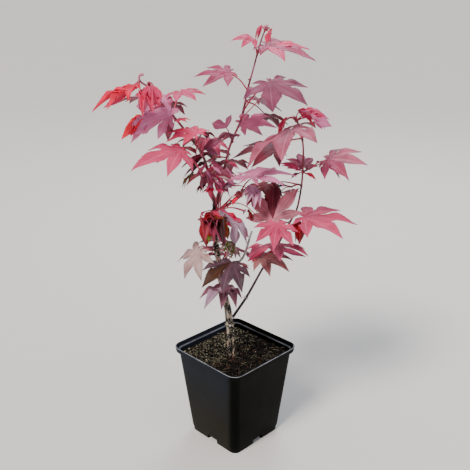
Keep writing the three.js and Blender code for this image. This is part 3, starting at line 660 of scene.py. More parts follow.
        "stem": [(-13.4, 0, 168, 0.9), (-11, -5, 173, 0.8), (-9, -9, 178, 0.7)],
        "leaves": [
            leafOf(1.9, 35, 284, 43, heading=255, drop=18, roll=-8, blade=40, curl=37, fan=0.87,
                   skew=-0.11, reach=0.85, wide=1.45, sinus=0.44, tint="dullMauve", lobes={2: "bronze"}),
            leafOf(1.5, 9, 285, -45, heading=264, drop=0, roll=-3, blade=42, curl=30, fan=0.64, skew=-0.14,
                   reach=0.85, wide=1.4, tint="mauveBrown", lobes={2: "lilac"}),
        ],
        "late": [
            lateLeaf(1.9, (-5.5, -12, 213), 300, 62, 17, "freshGreen",
                     fan=0.5, wide=1.7, lobes={2: "creamPink", 4: "creamPink", 5: "wilted"}),
            lateLeaf(1.9, (-2.8, -12, 204.1), 332, 22, 12, "creamPink", fan=0.8, wide=1.2),
            lateLeaf(1.9, (-8.3, -12, 210.1), 190, 35, 8, "creamPink", fan=0.5, wide=1.5),
        ],
    },
    "low_back_leaves": {
        "stem": [(-15, 0, 182, 0.9), (-12, 8, 186, 0.8), (-8, 16, 191, 0.7)],
        "leaves": [],
        "seeded": {"tries": 16, "facing": 80, "spread": 35, "seed": 72, "blade": 34},
    },
}


def otherTwigs(mass):
    marks = []
    for other in masses.values():
        if other is not mass:
            marks += limbMarks(other["stem"], other.get("start", 0), len(other["stem"]) - 1)
    return marks


def crowded(leaf, others):
    marks = np.array(leafMarks(leaf))
    gaps = np.linalg.norm(marks[:, None, :] - np.array(others)[None, :, :], axis=2)
    return gaps.min() < plant["crowding"]


# main leaves take their places first, then the seeded ones where there is room
def growMasses():
    marks = [mark for path, start, end in limbs.values() for mark in limbMarks(path, start, end)]
    grown = {}
    for name, mass in masses.items():
        grown[name] = [growLeaf(mass["stem"], settings) for settings in mass["leaves"]]
        for leaf in grown[name]:
            marks += leafMarks(leaf)
    for name, mass in masses.items():
        if "seeded" in mass:
            twigs = otherTwigs(mass)
            for leaf in seededLeaves(mass["stem"], **mass["seeded"]):
                if not crowded(leaf, marks + twigs):
                    grown[name].append(leaf)
                    marks += leafMarks(leaf)
    for name, mass in masses.items():
        for row in mass.get("late", []):
            settings = row if isinstance(row, dict) else singleLobe(*row)
            grown[name].append(growLeaf(mass["stem"], settings))
    return grown


grownLeaves = growMasses()
print("leaves placed:", sum(len(leaves) for leaves in grownLeaves.values()))


# leaf tints: young maple leaves, thin and waxy, paler along their veins; each is one plain base colour
# with a darker shade that clouds it, and the colour of its veins

leafTints = {
    "rosePink": ("#aa4268", "#8a304e", "#cc7894"),
    "brightPink": ("#da4274", "#b8305c", "#ee8caa"),
    "dustyPink": ("#98485f", "#763446", "#b87c8c"),
    "roseMauve": ("#7c3c50", "#5e2c3c", "#a06a7e"),
    "palePink": ("#de80ae", "#ba5e88", "#eab0c8"),
    "mauvePink": ("#8e4260", "#743050", "#b07690"),
    "greyPink": ("#d67aa2", "#aa5680", "#e4a2bc"),
    "greyMauve": ("#d49ebc", "#a4728e", "#e4c0d2"),
    "lilac": ("#b094a8", "#8c7086", "#ccb8c8"),
    "dullRose": ("#8a2c48", "#6a1c32", "#aa5c70"),
    "dullRed": ("#9a3444", "#70222e", "#b45a66"),
    "dullMauve": ("#563c49", "#402a36", "#7c6270"),
    "coral": ("#e22e68", "#cc2a54", "#f48aa6"),
    "pinkRed": ("#d24470", "#b03058", "#ee8ca6"),
    "crimson": ("#f40c48", "#c00a34", "#f65678"),
    "litRed": ("#ea1034", "#b40c28", "#f4546c"),
    "deepRed": ("#9c1220", "#680c16", "#b43c48"),
    "bronzeRed": ("#74283a", "#521c2a", "#944c5a"),
    "bronze": ("#42220f", "#2e1814", "#5e3c26"),
    "darkMaroon": ("#341319", "#200a0e", "#522a32"),
    "creamPink": ("#b89c9a", "#7a5458", "#dccabe"),
    "duskyRose": ("#c07888", "#90505e", "#d8a4ae"),
    "orangeBrown": ("#a04a18", "#5c1c14", "#b8703c"),
    "paleDusk": ("#e090a0", "#b46a7a", "#f0bcc6"),
    "warmPink": ("#b65c76", "#8e4259", "#d690a4"),
    "mauveBrown": ("#865464", "#603a48", "#a67e8a"),
    "brownPink": ("#9c6260", "#74464a", "#c48e90"),
    "wilted": ("#6a4c28", "#44321c", "#8c7044"),
    "freshGreen": ("#5c7410", "#3e5410", "#8a9a3c"),
}
veinForm = {
    "ribWidth": (0.012, 0.05),  # shares of the lobe's width over which the rib fades out
    "ribPale": 0.6,
    "sideVeins": 9.0,  # pairs along a lobe, 3 to 5 mm apart on a grown leaf
    "sideWidth": (0.02, 0.16),
    "sidePale": 0.34,
    "slant": 1.6,
    "cloudSize": 14,  # mm across a patch of deeper colour
    "cloudEdge": (0.4, 0.68),
    "speckleSize": 1.6,
    "speckleHeight": 0.35,
    "bump": (0.55, 0.35),  # strength, and depth in mm
    "skin": {"Roughness": 0.5, "Specular IOR Level": 0.3, "Subsurface Weight": 0.4,
             "Subsurface Radius": (1.0, 0.3, 0.32), "Subsurface Scale": 1.2 * mm},
}


def leafMaterial(name, base, shade, vein):
    material, tree, shader = newMaterial(name, veinForm["skin"])
    place = surfacePlace(tree)
    axes = axesOf(tree, addNode(tree, "ShaderNodeUVMap", uv_map="veins").outputs[0])
    across = maths(tree, "ABSOLUTE", maths(tree, "SUBTRACT", axes[0], 0.5))
    rib = mapped(tree, across, *veinForm["ribWidth"], veinForm["ribPale"], 0.0)
    along = maths(tree, "SUBTRACT", axes[1], maths(tree, "MULTIPLY", across, veinForm["slant"]))
    saw = maths(tree, "PINGPONG", maths(tree, "MULTIPLY", along, veinForm["sideVeins"]), 0.5)
    side = mapped(tree, saw, *veinForm["sideWidth"], veinForm["sidePale"], 0.0)
    veins = maths(tree, "MAXIMUM", rib, side)
    cloud = mapped(tree, clouded(tree, place, veinForm["cloudSize"], 3.0), *veinForm["cloudEdge"])
    ground = blended(tree, cloud, linear(base), linear(shade))
    speckle = clouded(tree, place, veinForm["speckleSize"])
    relief = maths(tree, "MULTIPLY_ADD", speckle, veinForm["speckleHeight"], veins)
    dressShader(tree, shader, blended(tree, veins, ground, linear(vein)), relief, *veinForm["bump"])
    return material


# half the lobe's width against the way along it, in lobe lengths, past the sinus
def lobeWidth(t, sinusAt, sinusWidth, wide):
    past = sinusAt + leafForm["sinusClear"]
    known = [(p, w * wide) for p, w in zip(leafForm["places"], leafForm["widths"]) if p > past]
    return float(np.interp(t, [sinusAt, *(p for p, _ in known)], [sinusWidth, *(w for _, w in known)]))


def lobeRows(leaf, lobes, i, draw):
    form, sinus, wide = leafForm, leaf["sinus"], leaf["wide"]
    angle, length = lobes[i]
    inner, outer = form["innerRows"], form["outerRows"]
    gather = min(1.0, leaf["fan"]) ** form["gatherCurve"]
    steep = max(form["fold"], form["gatheredFold"] * math.sqrt(max(0.0, 1 - gather * gather)))
    sides = {}
    for side in (-1, 1):
        if 0 <= i + side < len(lobes):
            nextAngle, nextLength = lobes[i + side]
            sides[side] = (abs(nextAngle - angle) / 2, min(length, nextLength))
    sinusAt = sinus * form["sinusRib"]
    phase = draw()
    rows = []
    for row in range(inner + outer + 1):
        points, uvs, tooth = [], [], 0
        isInner = row <= inner
        part = row / inner if isInner else (row - inner) / outer
        t = sinusAt * part if isInner else sinusAt + (1 - sinusAt) * part
        if not isInner and row % 2 and t < form["toothEnd"]:
            tooth = form["toothDepth"] * (form["toothChance"][0] + form["toothChance"][1] * draw())
        for column in form["columns"]:
            side = 1 if column > 0 else -1
            share = abs(column)
            wave = form["edgeWave"] * length * math.sin(2 * math.pi * (form["waves"] * t + phase)) * share
            known = side in sides
            if known:
                halfGap, shorter = sides[side]
                sinusWidth = sinus * math.sin(halfGap) * shorter / length
            else:
                shorter, sinusWidth = length, form["outerSinus"] * wide
            if isInner and known:
                boundary = shorter * sinus * part
                ribRadius = t * length
                radius = ribRadius + (boundary - ribRadius) * share
                bend = length + (shorter - length) * share
                turn = angle + side * halfGap * share
                lift = length * form["sinusLift"] * part * share + wave * part
            else:
                width = sinusWidth * part ** form["outerCurve"]
                if not isInner:
                    width = lobeWidth(t, sinusAt, sinusWidth, wide)
                shift = 0.0
                if tooth and share == 1:
                    width += tooth * min(1, form["toothFade"] * (1 - t))
                    shift = form["toothShift"]
                reach = (t + shift) * length
                over = width * share * length
                fade = max(0.0, 1 - (t - sinusAt) / form["sinusFade"]) if known and not isInner else 0.0
                narrow = gather + (1 - gather) * fade
                radius = math.hypot(reach, over * narrow)
                turn = angle + side * math.atan2(over * narrow, max(reach, 1e-6))
                bend = length + (shorter - length) * share * fade
                lift = over * (steep + (form["sinusFold"] - steep) * fade) + wave
            points.append(onBlade(leaf, radius, turn, bend, lift))
            uvs.append((0.5 + column * 0.5, t))
        rows.append((points, uvs))
    return rows


def emitLobe(rows, store):
    points, faces, uvs = store
    count = len(leafForm["columns"])
    middle = count // 2
    ids = [[len(points)] * count]
    points.append(rows[0][0][middle])
    for rowPoints, _ in rows[1:-1]:
        ids.append(list(range(len(points), len(points) + count)))
        points.extend(rowPoints)
    ids.append([len(points)] * count)
    points.append(rows[-1][0][middle])
    for r in range(len(rows) - 1):
        for c in range(count - 1):
            corners = [(r, c), (r + 1, c), (r + 1, c + 1), (r, c + 1)]
            if r == 0:
                corners = [(0, middle), (1, c), (1, c + 1)]
            elif r == len(rows) - 2:
                corners = [(r, c), (r + 1, middle), (r, c + 1)]
            faces.append([ids[a][b] for a, b in corners])
            uvs.append([rows[a][1][b] for a, b in corners])


def buildLeaves():
    stores, owners = {}, {}
    draw = seededRandom(7)
    for name, leaves in grownLeaves.items():
        for leaf in leaves:
            lobes = bladeLobes(leaf)
            for i in range(len(lobes)):
                tint = leaf.get("lobes", {}).get(i, leaf["tint"])
                store = stores.setdefault(tint, ([], [], []))
                owners.setdefault(tint, set()).add(name)
                emitLobe(lobeRows(leaf, lobes, i, draw), store)
    for tint, (points, faces, uvs) in stores.items():
        material = leafMaterial(f"mapleLeaf_{tint}", *leafTints[tint])
        flat = meshObject(f"leaves_{tint}", points, faces, [material], uvs)
        work = bmesh.new()
        work.from_mesh(flat.data)
        bmesh.ops.remove_doubles(work, verts=work.verts, dist=leafForm["weld"] * mm)
        work.to_mesh(flat.data)
        work.free()
        plate = flat.modifiers.new("thickness", "SOLIDIFY")
        plate.thickness = leafForm["thickness"] * mm
        plate.offset = 0
        keepPiece(bakePiece(flat), "leaf", *sorted(owners[tint]))


buildLeaves()
print("leaf blades built")


# stems, twigs and stalks follow their paths: one tree skins a curve and roughens its bark

def tubeTree():
    tree, given = newTree("growTube", [("Sides", "Int"), ("Relief", "Float"), ("Grain", "Float"),
                                       ("Stretch", "Float"), ("Material", "Material")])
    ring = addNode(tree, "GeometryNodeCurvePrimitiveCircle", {"Resolution": given["Sides"], "Radius": 1.0})
    girth = addNode(tree, "GeometryNodeInputRadius").outputs[0]
    skin = addNode(tree, "GeometryNodeCurveToMesh", {
        "Curve": given["Geometry"], "Profile Curve": ring.outputs[0], "Scale": girth, "Fill Caps": True})
    place = addNode(tree, "GeometryNodeInputPosition").outputs[0]
    squeeze = addNode(tree, "ShaderNodeCombineXYZ", {0: 1.0, 1: 1.0, 2: given["Stretch"]}).outputs[0]
    grain = addNode(tree, "ShaderNodeTexNoise", {
        "Vector": scaled(tree, place, squeeze), "Scale": given["Grain"], "Detail": 3.0}).outputs[0]
    height = maths(tree, "MULTIPLY", maths(tree, "SUBTRACT", grain, 0.5), given["Relief"])
    normal = addNode(tree, "GeometryNodeInputNormal").outputs[0]
    push = addNode(tree, "ShaderNodeVectorMath", {0: normal, "Scale": height}, operation="SCALE").outputs[0]
    rough = addNode(tree, "GeometryNodeSetPosition", {"Geometry": skin.outputs[0], "Offset": push})
    smooth = addNode(tree, "GeometryNodeSetShadeSmooth", {0: rough.outputs[0]})
    endTree(tree, smooth.outputs[0], given["Material"])
    return tree


growTube = tubeTree()


# one curve object of many splines, each a list of [x, y, z, radius] in mm
def curveObject(name, lines):
    curve = bpy.data.curves.new(name, "CURVE")
    curve.dimensions = "3D"
    for line in lines:
        spline = curve.splines.new("POLY")
        spline.points.add(len(line) - 1)
        for point, (x, y, z, radius) in zip(spline.points, line):
            point.co = (x * mm, y * mm, z * mm, 1)
            point.radius = radius * mm
    return newObject(name, curve)


# fine samples of a limb, swollen a little at the places where something grows from it
def limbLine(path, start, end, nodes=(), step=0.06, swell=0.28):
    count = max(4, int((end - start) / step))
    line = []
    for i in range(count + 1):
        place = start + (end - start) * i / count
        point, radius = placeOn(path, place)
        near = max([math.exp(-((place - node) / plant["swellReach"]) ** 2) for node in nodes] or [0])
        line.append((*point, radius * (1 + swell * near)))
    return line


# the ground colour at heights in mm up the plant, then its dark patches and pale pores
barks = {
    "mapleTrunkBark": {"rise": [(85, "#b0907e"), (122, "#bcae98"), (165, "#94706a"), (236, "#c09a8c")],
                       "dark": "#15100d", "pale": "#dcd0c0", "patch": 3, "roughness": 0.8, "stretch": 0.42,
                       "cover": (0.4, 0.5)},
    "darkRedShootBark": {"rise": [(236, "#8c3042"), (300, "#701c30"), (364, "#8e3048")],
                         "dark": "#3c0e1a", "pale": "#c07084", "patch": 5, "roughness": 0.38, "stretch": 0.3},
    "mauveShootBark": {"rise": [(244, "#6e2434"), (300, "#943650"), (330, "#a04c68"), (404, "#b05c80")],
                       "dark": "#661e34", "pale": "#c8849a", "patch": 5, "roughness": 0.4, "stretch": 0.3},
    "darkShootBark": {"rise": [(150, "#0e0a0d"), (178, "#5c4048"), (228, "#8c1e36"), (330, "#a83a56")],
                      "dark": "#1a0c12", "pale": "#9c6470", "patch": 5, "roughness": 0.4, "stretch": 0.3},
    "weatheredDeadWood": {"rise": [(0, "#c0c0c2")], "dark": "#8c8884", "pale": "#e4e2e0", "patch": 4,
                          "roughness": 0.85, "stretch": 0.3},
    "crimsonLeafStalk": {"rise": [(0, "#c03052")], "dark": "#8c1c36", "pale": "#e08098", "patch": 6,
                         "roughness": 0.4, "stretch": 0.5},
}
poreForm = {"spacing": 1.5, "edge": (0.16, 0.3), "patchHeight": 0.7, "bump": (0.6, 0.3)}


# bark: a mottled skin that breaks into darker patches, with pale raised breathing pores 0.6 mm across
def barkMaterial(name, rise, dark, pale, patch, roughness, stretch=1.0, cover=(0.46, 0.58)):
    material, tree, shader = newMaterial(name, {"Roughness": roughness, "Specular IOR Level": 0.45})
    place = surfacePlace(tree)
    height = maths(tree, "DIVIDE", axesOf(tree, place)[2], plantTop * mm)
    ramp = addNode(tree, "ShaderNodeValToRGB", {0: height})
    stops = ramp.color_ramp.elements
    stops[0].position, stops[0].color = rise[0][0] / plantTop, linear(rise[0][1])
    stops[1].position, stops[1].color = 1, linear(rise[-1][1])
    for z, colour in rise[1:]:
        stops.new(z / plantTop).color = linear(colour)
    patches = clouded(tree, scaled(tree, place, (1.0, 1.0, stretch)), patch, 5.0, 0.65)
    ground = blended(tree, mapped(tree, patches, *cover), ramp.outputs[0], linear(dark))
    cells = {"Vector": place, "Scale": 1 / (poreForm["spacing"] * mm)}
    pores = addNode(tree, "ShaderNodeTexVoronoi", cells).outputs[0]
    spots = mapped(tree, pores, *poreForm["edge"], 1.0, 0.0)
    bulge = maths(tree, "MULTIPLY_ADD", patches, poreForm["patchHeight"], spots)
    dressShader(tree, shader, blended(tree, spots, ground, linear(pale)), bulge, *poreForm["bump"])
    return material


barkLooks = {name: barkMaterial(name, **look) for name, look in barks.items()}


def growStem(name, lines, look, slotName, nodes, sides, relief, grain, stretch=0.35):
    source = curveObject(name + "_path", lines)
    values = {"Sides": sides, "Relief": relief * mm, "Grain": grain, "Stretch": stretch,
              "Material": barkLooks[look]}
    keepPiece(growWith(source, growTube, values, name), slotName, *nodes)


def leafPlaces(stem):
    return [leaf["at"] for mass in masses.values() if mass["stem"] is stem for leaf in mass["leaves"]]


def twigPlaces(path, start, end):
    places = []
    for mass in masses.values():
        if mass["stem"] is not path:
            root = np.array(mass["stem"][0][:3])
            steps = np.arange(start, end + 0.01, 0.1)
            gap, place = min((np.linalg.norm(placeOn(path, p)[0] - root), p) for p in steps)
            if gap < plant["joinReach"]:
                places.append(place)
    return places


# shoots that the photo shows slimmer than the source's solids
slimShoots = {"right_stem": 0.78, "top_bough": 0.88, "top_leaves": 0.85, "right_tip_leaves": 0.85}


def slimmed(name, line):
    return [(x, y, z, slimShoots.get(name, 1) * radius) for x, y, z, radius in line]


stalkForm = {
    "arch": 0.08,  # the middle of a stalk rises by this much of its length
    "heart": (2.5, -0.25),  # mm along the blade and under it, where the stalk ends
    "stoutLength": 110,  # longer stalks are stouter: twice as stout at this many mm
    "girths": (0.62, 0.46, 0.42),  # radius in mm at the twig, halfway and at the blade
    "footGirth": 0.85,
    "looseGirths": (0.55, 0.42),
    "skin": (8, 0.08, 1500.0, 0.6),  # sides, relief in mm, grain and stretch
    "step": 0.2,
}


def buildStems():
    looks = {  # bark, slot, sides, relief in mm and grain
        "trunk": ("mapleTrunkBark", "bark", 24, 0.9, 700.0),
        "left_bough": ("darkRedShootBark", "shoot_bark", 16, 0.25, 900.0),
        "top_bough": ("mauveShootBark", "shoot_bark", 16, 0.25, 900.0),
        "right_stem": ("darkShootBark", "dark_shoot_bark", 16, 0.3, 900.0),
        "second_stem": ("mapleTrunkBark", "bark", 16, 0.4, 800.0),
        "dead_twig": ("weatheredDeadWood", "dead_wood", 12, 0.3, 1200.0),
    }
    for name, (path, start, end) in limbs.items():
        look, slotName, *skin = looks[name]
        line = slimmed(name, limbLine(path, start, end, twigPlaces(path, start, end)))
        growStem(name + "_wood", [line], look, slotName, [name], *skin)


def stalkLine(leaf):
    middle = (leaf["node"] + leaf["base"]) / 2
    middle[2] += leaf["stalk"] * stalkForm["arch"]
    along, under = stalkForm["heart"]
    heart = onBlade(leaf, along, 0, leaf["blade"], under)
    stout = 1 + leaf["stalk"] / stalkForm["stoutLength"]
    low, half, high = stalkForm["girths"]
    knots = [(*leaf["node"], low * stout), (*middle, half * stout), (*heart, high)]
    line = limbLine(knots, 0, 2, (), stalkForm["step"])
    line[0] = (*line[0][:3], stalkForm["footGirth"])
    return line


twigForm = {"shortStep": 0.1, "longStep": 0.06, "swell": 0.35, "skin": (12, 0.15, 1200.0, 0.5)}
twigLooks = {
    "left_tip_leaves": ("left_tip_twig", "darkRedShootBark"),
    "top_leaves": ("top_twig", "mauveShootBark"),
    "right_tip_leaves": ("right_tip_twig", "darkShootBark"),
}
looseStalks = [  # long leaf stalks that cross the open middle of the plant, mm
    [(-11.9, -2, 243.6), (0.9, -5, 247.5), (10, -8, 245.6), (17.2, -12, 240.2), (24.4, -16, 235.9)],
    [(-18.8, -8, 274.8), (-6.3, -10, 274), (7.1, -12, 276.8), (18.7, -10, 280)],
    [(-19.7, -8, 276.6), (-4.5, -11, 271.9), (9.8, -13, 273.4), (20.5, -12, 276.8)],
    [(-11.7, -8, 259.8), (-2.7, -12, 265.7), (6.2, -14, 266.3), (12.5, -16, 263.2)],
    [(-29.8, -6, 267.7), (-23.6, -5, 259.9), (-18.3, -3, 250.7)],
    [(-7.3, -6, 244), (-0.9, -8, 249.9), (5.4, -9, 255.4)],
    [(-31.2, -4, 294), (-27.3, -4, 286.6), (-24.3, -3, 278.1)],
    [(-17.7, -6, 296.3), (-20.1, -5, 287.8), (-22.1, -3, 279)],
    [(-34.7, -16, 310.2), (-33.6, -15, 302), (-34.3, -13, 294.4)],
    [(4.4, 0, 323.2), (13.5, -3, 333), (24.2, -6, 344.8)],
]


def smoothLine(points, girths):
    last = len(points) - 1
    knots = [(*p, girths[0] + (girths[1] - girths[0]) * i / last) for i, p in enumerate(points)]
    return limbLine(knots, 0, last, (), stalkForm["step"])


def buildTwigs():
    groups, stalks = {}, []
    for name, mass in masses.items():
        stem, start = mass["stem"], mass.get("start", 0)
        step = twigForm["shortStep" if start == 0 else "longStep"]
        line = limbLine(stem, start, len(stem) - 1, leafPlaces(stem), step, twigForm["swell"])
        piece, look = twigLooks.get(name, ("inner_twigs", "darkRedShootBark"))
        lines, owners, _ = groups.setdefault(piece, ([], [], look))
        lines.append(slimmed(name, line))
        owners.append(name)
        stalks += [stalkLine(leaf) for leaf in grownLeaves[name]]
    for piece, (lines, owners, look) in groups.items():
        growStem(piece, lines, look, "shoot_bark", owners, *twigForm["skin"])
    stalks += [smoothLine(points, stalkForm["looseGirths"]) for points in looseStalks]
    growStem("leaf_stalks", stalks, "crimsonLeafStalk", "shoot_bark", list(masses), *stalkForm["skin"])


buildStems()
buildTwigs()
print("stems, twigs and stalks grown")


# buds: small pointed scales, pale where they swell white, red in the leaf axils

def budPoints(at, direction, length, width):
    turn = Vector(direction).normalized().to_track_quat("Z", "Y").to_matrix()
    rings, sides = budForm["rings"], budForm["sides"]
    start, span = budForm["swell"]
    points, faces = [], []
    for r in range(rings + 1):
        t = r / rings
        girth = width / 2 * math.sin(math.pi * (t * span + start)) ** budForm["blunt"]
        for k in range(sides):
            a = 2 * math.pi * k / sides
            local = Vector((girth * math.cos(a), girth * math.sin(a), length * (t - budForm["sunk"])))
            points.append(Vector(at) + turn @ local)
    for r in range(rings):
        for k in range(sides):
            a, b = r * sides + k, r * sides + (k + 1) % sides
            faces.append([a, b, b + sides, a + sides])
    faces += [list(reversed(range(sides))), list(range(rings * sides, (rings + 1) * sides))]
    return points, faces


def budRows(rows):
    points, faces = [], []
    for row in rows:
        more, moreFaces = budPoints(*row)
        faces += [[i + len(points) for i in face] for face in moreFaces]
        points += more
    return points, faces


budForm = {"rings": 6, "sides": 8, "swell": (0.02, 0.96), "blunt": 0.8, "sunk": 0.15}
buds = {  # place, direction, length and width, mm
    "whiteBuds": [
        ((-15.5, -3.2, 213), (0.7, -0.6, 0.5), 4, 2.6),
        ((9.2, 1, 149.8), (0.2, -0.8, 0.4), 2.6, 2.2),
        ((11.7, 1, 148.2), (0.4, -0.8, 0.3), 2.2, 1.8),
        ((-15.9, -4, 208), (-0.2, -0.9, 0.4), 2.4, 2),
        ((-12.7, -4, 199.9), (0.5, -0.8, 0.4), 2.4, 2),
        ((37.2, -9, 202.9), (0.2, -0.9, 0.3), 3, 2.2),
        ((-2.9, -3.6, 130), (0.3, -0.9, 0.2), 3.4, 2.6),
        ((-4.4, -4.2, 121.6), (-0.4, -0.8, 0.2), 3, 2.2),
        ((-1.8, -9, 254.5), (0.2, -0.6, 0.8), 3.4, 2.2),
        ((26.1, -1, 402.5), (0.4, -0.3, 1), 3.6, 1.8),
    ],
    "redBuds": [
        ((-3, 1.5, 302), (0.6, -0.6, 0.6), 4, 2),
        ((-21.4, -2.5, 258), (-0.6, -0.6, 0.6), 3.4, 1.8),
        ((60.9, 2, 288), (0.7, -0.5, 0.7), 3.4, 1.8),
        ((8.2, 2, 336), (0.7, -0.5, 0.6), 3.4, 1.8),
        ((13.1, 1.4, 357), (-0.7, -0.5, 0.6), 3.2, 1.6),
        ((-2.7, 1, 306.4), (-0.5, -0.6, 0.7), 5, 2.6),
        ((-7.2, -4, 285.7), (0.1, -0.8, 0.6), 5, 3),
    ],
}
budLooks = {
    "whiteBuds": barkMaterial("paleBudScale", [(0, "#e2dcd4")], "#b4a89c", "#f4f0ea", 3, 0.7),
    "redBuds": barkMaterial("redBudScale", [(0, "#a83048")], "#701c2c", "#c86a78", 3, 0.5),
}
tipForm = {"girths": (0.8, 1.3), "skin": (10, 0.1, 1500.0)}
curledTips = [  # pale young tips that curl over at the bough ends, mm
    [(-80, -16, 357.3), (-80.9, -16.5, 361.1), (-79.7, -17, 364.1), (-76.7, -17.5, 364.5)],
    [(24, -1, 400), (25.2, -1.5, 402.1), (27.3, -2, 402.9)],
]
barkLooks["paleCurledTip"] = barkMaterial("paleCurledTip", [(0, "#d88aa4")], "#b4607c", "#f0c8d4", 3, 0.5)
growStem("curled_tips", [smoothLine(points, tipForm["girths"]) for points in curledTips], "paleCurledTip",
         "shoot_bark", ["left_tip_leaves", "top_leaves"], *tipForm["skin"])
for kind, rows in buds.items():
    keepPiece(meshObject(kind, *budRows(rows), [budLooks[kind]]), "shoot_bark")
print("buds set")


# pot: a thin moulded shell, square with round corners, lofted through rings [height, side, corner radius]

potForm = {
    "turn": 45,
    "cornerSteps": 8,
    "outside": [
        (0, 63, 6.5), (0.25, 63.6, 6.8), (0.6, 64, 7), (5.0, 64.9, 7), (5.4, 65.2, 7.1), (5.8, 66, 7.4),
        (6.2, 66.24, 7.5), (30, 70.79, 7.5), (60, 76.52, 7.5), (91, 82.45, 7.5), (91.5, 82.7, 7.6),
        (91.75, 83.6, 8), (91.95, 86.5, 9.2), (92.15, 88.4, 10.2), (92.5, 89, 10.5), (96.2, 89.9, 10.5),
        (96.6, 90, 10.5), (96.85, 89.85, 10.4), (97, 89.4, 10.2),
    ],
    "inside": [
        (97, 88.2, 9.6), (96.85, 87.6, 9.3), (96.5, 87.2, 9.1), (94.4, 86.8, 9), (94, 86.4, 8.8),
        (93.8, 85.8, 8.5), (93.5, 81.2, 6.7), (93.3, 80.1, 6.2), (92.8, 79.8, 6), (60, 73.52, 6),
        (30, 67.79, 6), (7, 63.39, 6), (5.8, 62.6, 6), (2.6, 61.2, 6), (2, 60.5, 5.8),
    ],
    "footHalf": 32,
    "notch": (13, 7, 5),  # width, depth and height of a foot notch
    "notchClear": (4, 2),  # mm by which its cutter stands out of the wall and the foot
    "hoodWall": 1.5,
    "hoodStart": (0.2, 0.5),  # mm inside the wall's face and above the foot
    "hole": 8,
    "holePlace": 15.36,
    "holeDepth": (-2, 6),
    "holeSides": 32,
    "smoothBelow": 32,  # degrees
}
potLook = {
    "dustSize": 22,  # mm across clouds of dust, patches that break up the painted highlights, and the grain of the mould
    "highlightBreakSize": 9,
    "grainSize": 0.7,
    "dustEdge": (0.45, 0.75),
    "dustShare": 0.35,
    "paintedSheenRise": (25, 88),  # heights in mm between which the painted sheen on the left half turns from brown to blue
    "paintedSheenEdge": (-4, -8),  # mm from the middle where it begins and where it is full
    "paintedSheenShare": 0.92,
    "paintedHighlightEdges": [(96.84, 98, -1, 0.7), (93.42, 93.7, 1, 0.26)],  # painted highlights: between heights, front -1 or back, share
    "paintedHighlightSoft": 4,  # mm either side of the middle
    "highlightBreakEdge": (0.38, 0.6, 0.45),
    "roughness": (0.35, 0.7, 0.36, 0.52),  # from satin to dusty
    "bump": (0.25, 0.08),
}


def squareRing(height, side, radius, steps):
    half = side / 2 - radius
    ring = []
    for corner in range(4):
        turn = rad(corner * 90)
        mx = half * math.cos(turn) - half * math.sin(turn)
        my = half * math.sin(turn) + half * math.cos(turn)
        for k in range(steps + 1):
            a = turn + rad(90) * k / steps
            ring.append((mx + radius * math.cos(a), my + radius * math.sin(a), height))
    return ring


def turned(points, angle):
    c, s = math.cos(rad(angle)), math.sin(rad(angle))
    return [(x * c - y * s, x * s + y * c, z) for x, y, z in points]


def ringSkin(rings):
    count = len(rings[0])
    points = [p for ring in rings for p in ring]
    faces = []
    for r in range(len(rings) - 1):
        for k in range(count):
            a, b = r * count + k, r * count + (k + 1) % count
            faces.append([a, b, b + count, a + count])
    faces += [list(reversed(range(count))), list(range((len(rings) - 1) * count, len(rings) * count))]
    return points, faces


def boxPiece(name, x0, x1, y0, y1, z0, z1, turn):
    points = turned([(x, y, z) for z in (z0, z1) for x, y in ((x0, y0), (x1, y0), (x1, y1), (x0, y1))], turn)
    faces = [[3, 2, 1, 0], [4, 5, 6, 7], [0, 1, 5, 4], [1, 2, 6, 5], [2, 3, 7, 6], [3, 0, 4, 7]]
    return meshObject(name, points, faces, smooth=False)


def joinBy(piece, tool, operation):
    step = piece.modifiers.new("cut", "BOOLEAN")
    step.object, step.operation, step.solver = tool, operation, "EXACT"
    piece = bakePiece(piece)
    bpy.data.objects.remove(tool)
    return piece


# black polypropylene, injection moulded in a lightly textured mould: satin, with handling scuffs and clouds
# of dry dust;
# a painted sheen lightens its left half, bluer towards the lip, and painted highlights run pale along the
# lip's front edge and along the ledge inside the back
def potMaterial():
    look = potLook
    material, tree, shader = newMaterial("mouldedPolypropylene", {"Specular IOR Level": 0.03})
    place = surfacePlace(tree)
    x, y, z = axesOf(tree, place)
    dust = clouded(tree, place, look["dustSize"], 6.0, 0.7)
    dusty = mapped(tree, dust, *look["dustEdge"], 0.0, look["dustShare"])
    clean = blended(tree, dusty, linear("#050603"), linear("#10110e"))
    # painted sheen: the left half of the pot lighter, and bluer towards the lip
    rise = mapped(tree, z, *(h * mm for h in look["paintedSheenRise"]))
    paintedSheen = blended(tree, rise, linear("#24221d"), linear("#1d2129"))
    left = mapped(tree, x, *(edge * mm for edge in look["paintedSheenEdge"]), 0.0, look["paintedSheenShare"])
    plain = blended(tree, left, clean, paintedSheen)
    # painted highlights along the lip's front edge and the ledge inside the back, broken up by patches
    paintedHighlight = 0.0
    for low, high, frontToBack, most in look["paintedHighlightEdges"]:
        above = maths(tree, "GREATER_THAN", z, low * mm)
        below = maths(tree, "LESS_THAN", z, high * mm)
        soft = frontToBack * look["paintedHighlightSoft"] * mm
        half = mapped(tree, y, -soft, soft, 0.0, most)
        paintedHighlight = maths(tree, "MULTIPLY_ADD", maths(tree, "MULTIPLY", above, below), half, paintedHighlight)
    highlightBreak = mapped(tree, clouded(tree, place, look["highlightBreakSize"], 3.0), *look["highlightBreakEdge"])
    paintedHighlight = maths(tree, "MULTIPLY", paintedHighlight, highlightBreak)
    tree.links.new(mapped(tree, dust, *look["roughness"]), shader.inputs["Roughness"])
    colour = blended(tree, paintedHighlight, plain, linear("#a4a9b2"))
    dressShader(tree, shader, colour, clouded(tree, place, look["grainSize"]), *look["bump"])
    return material


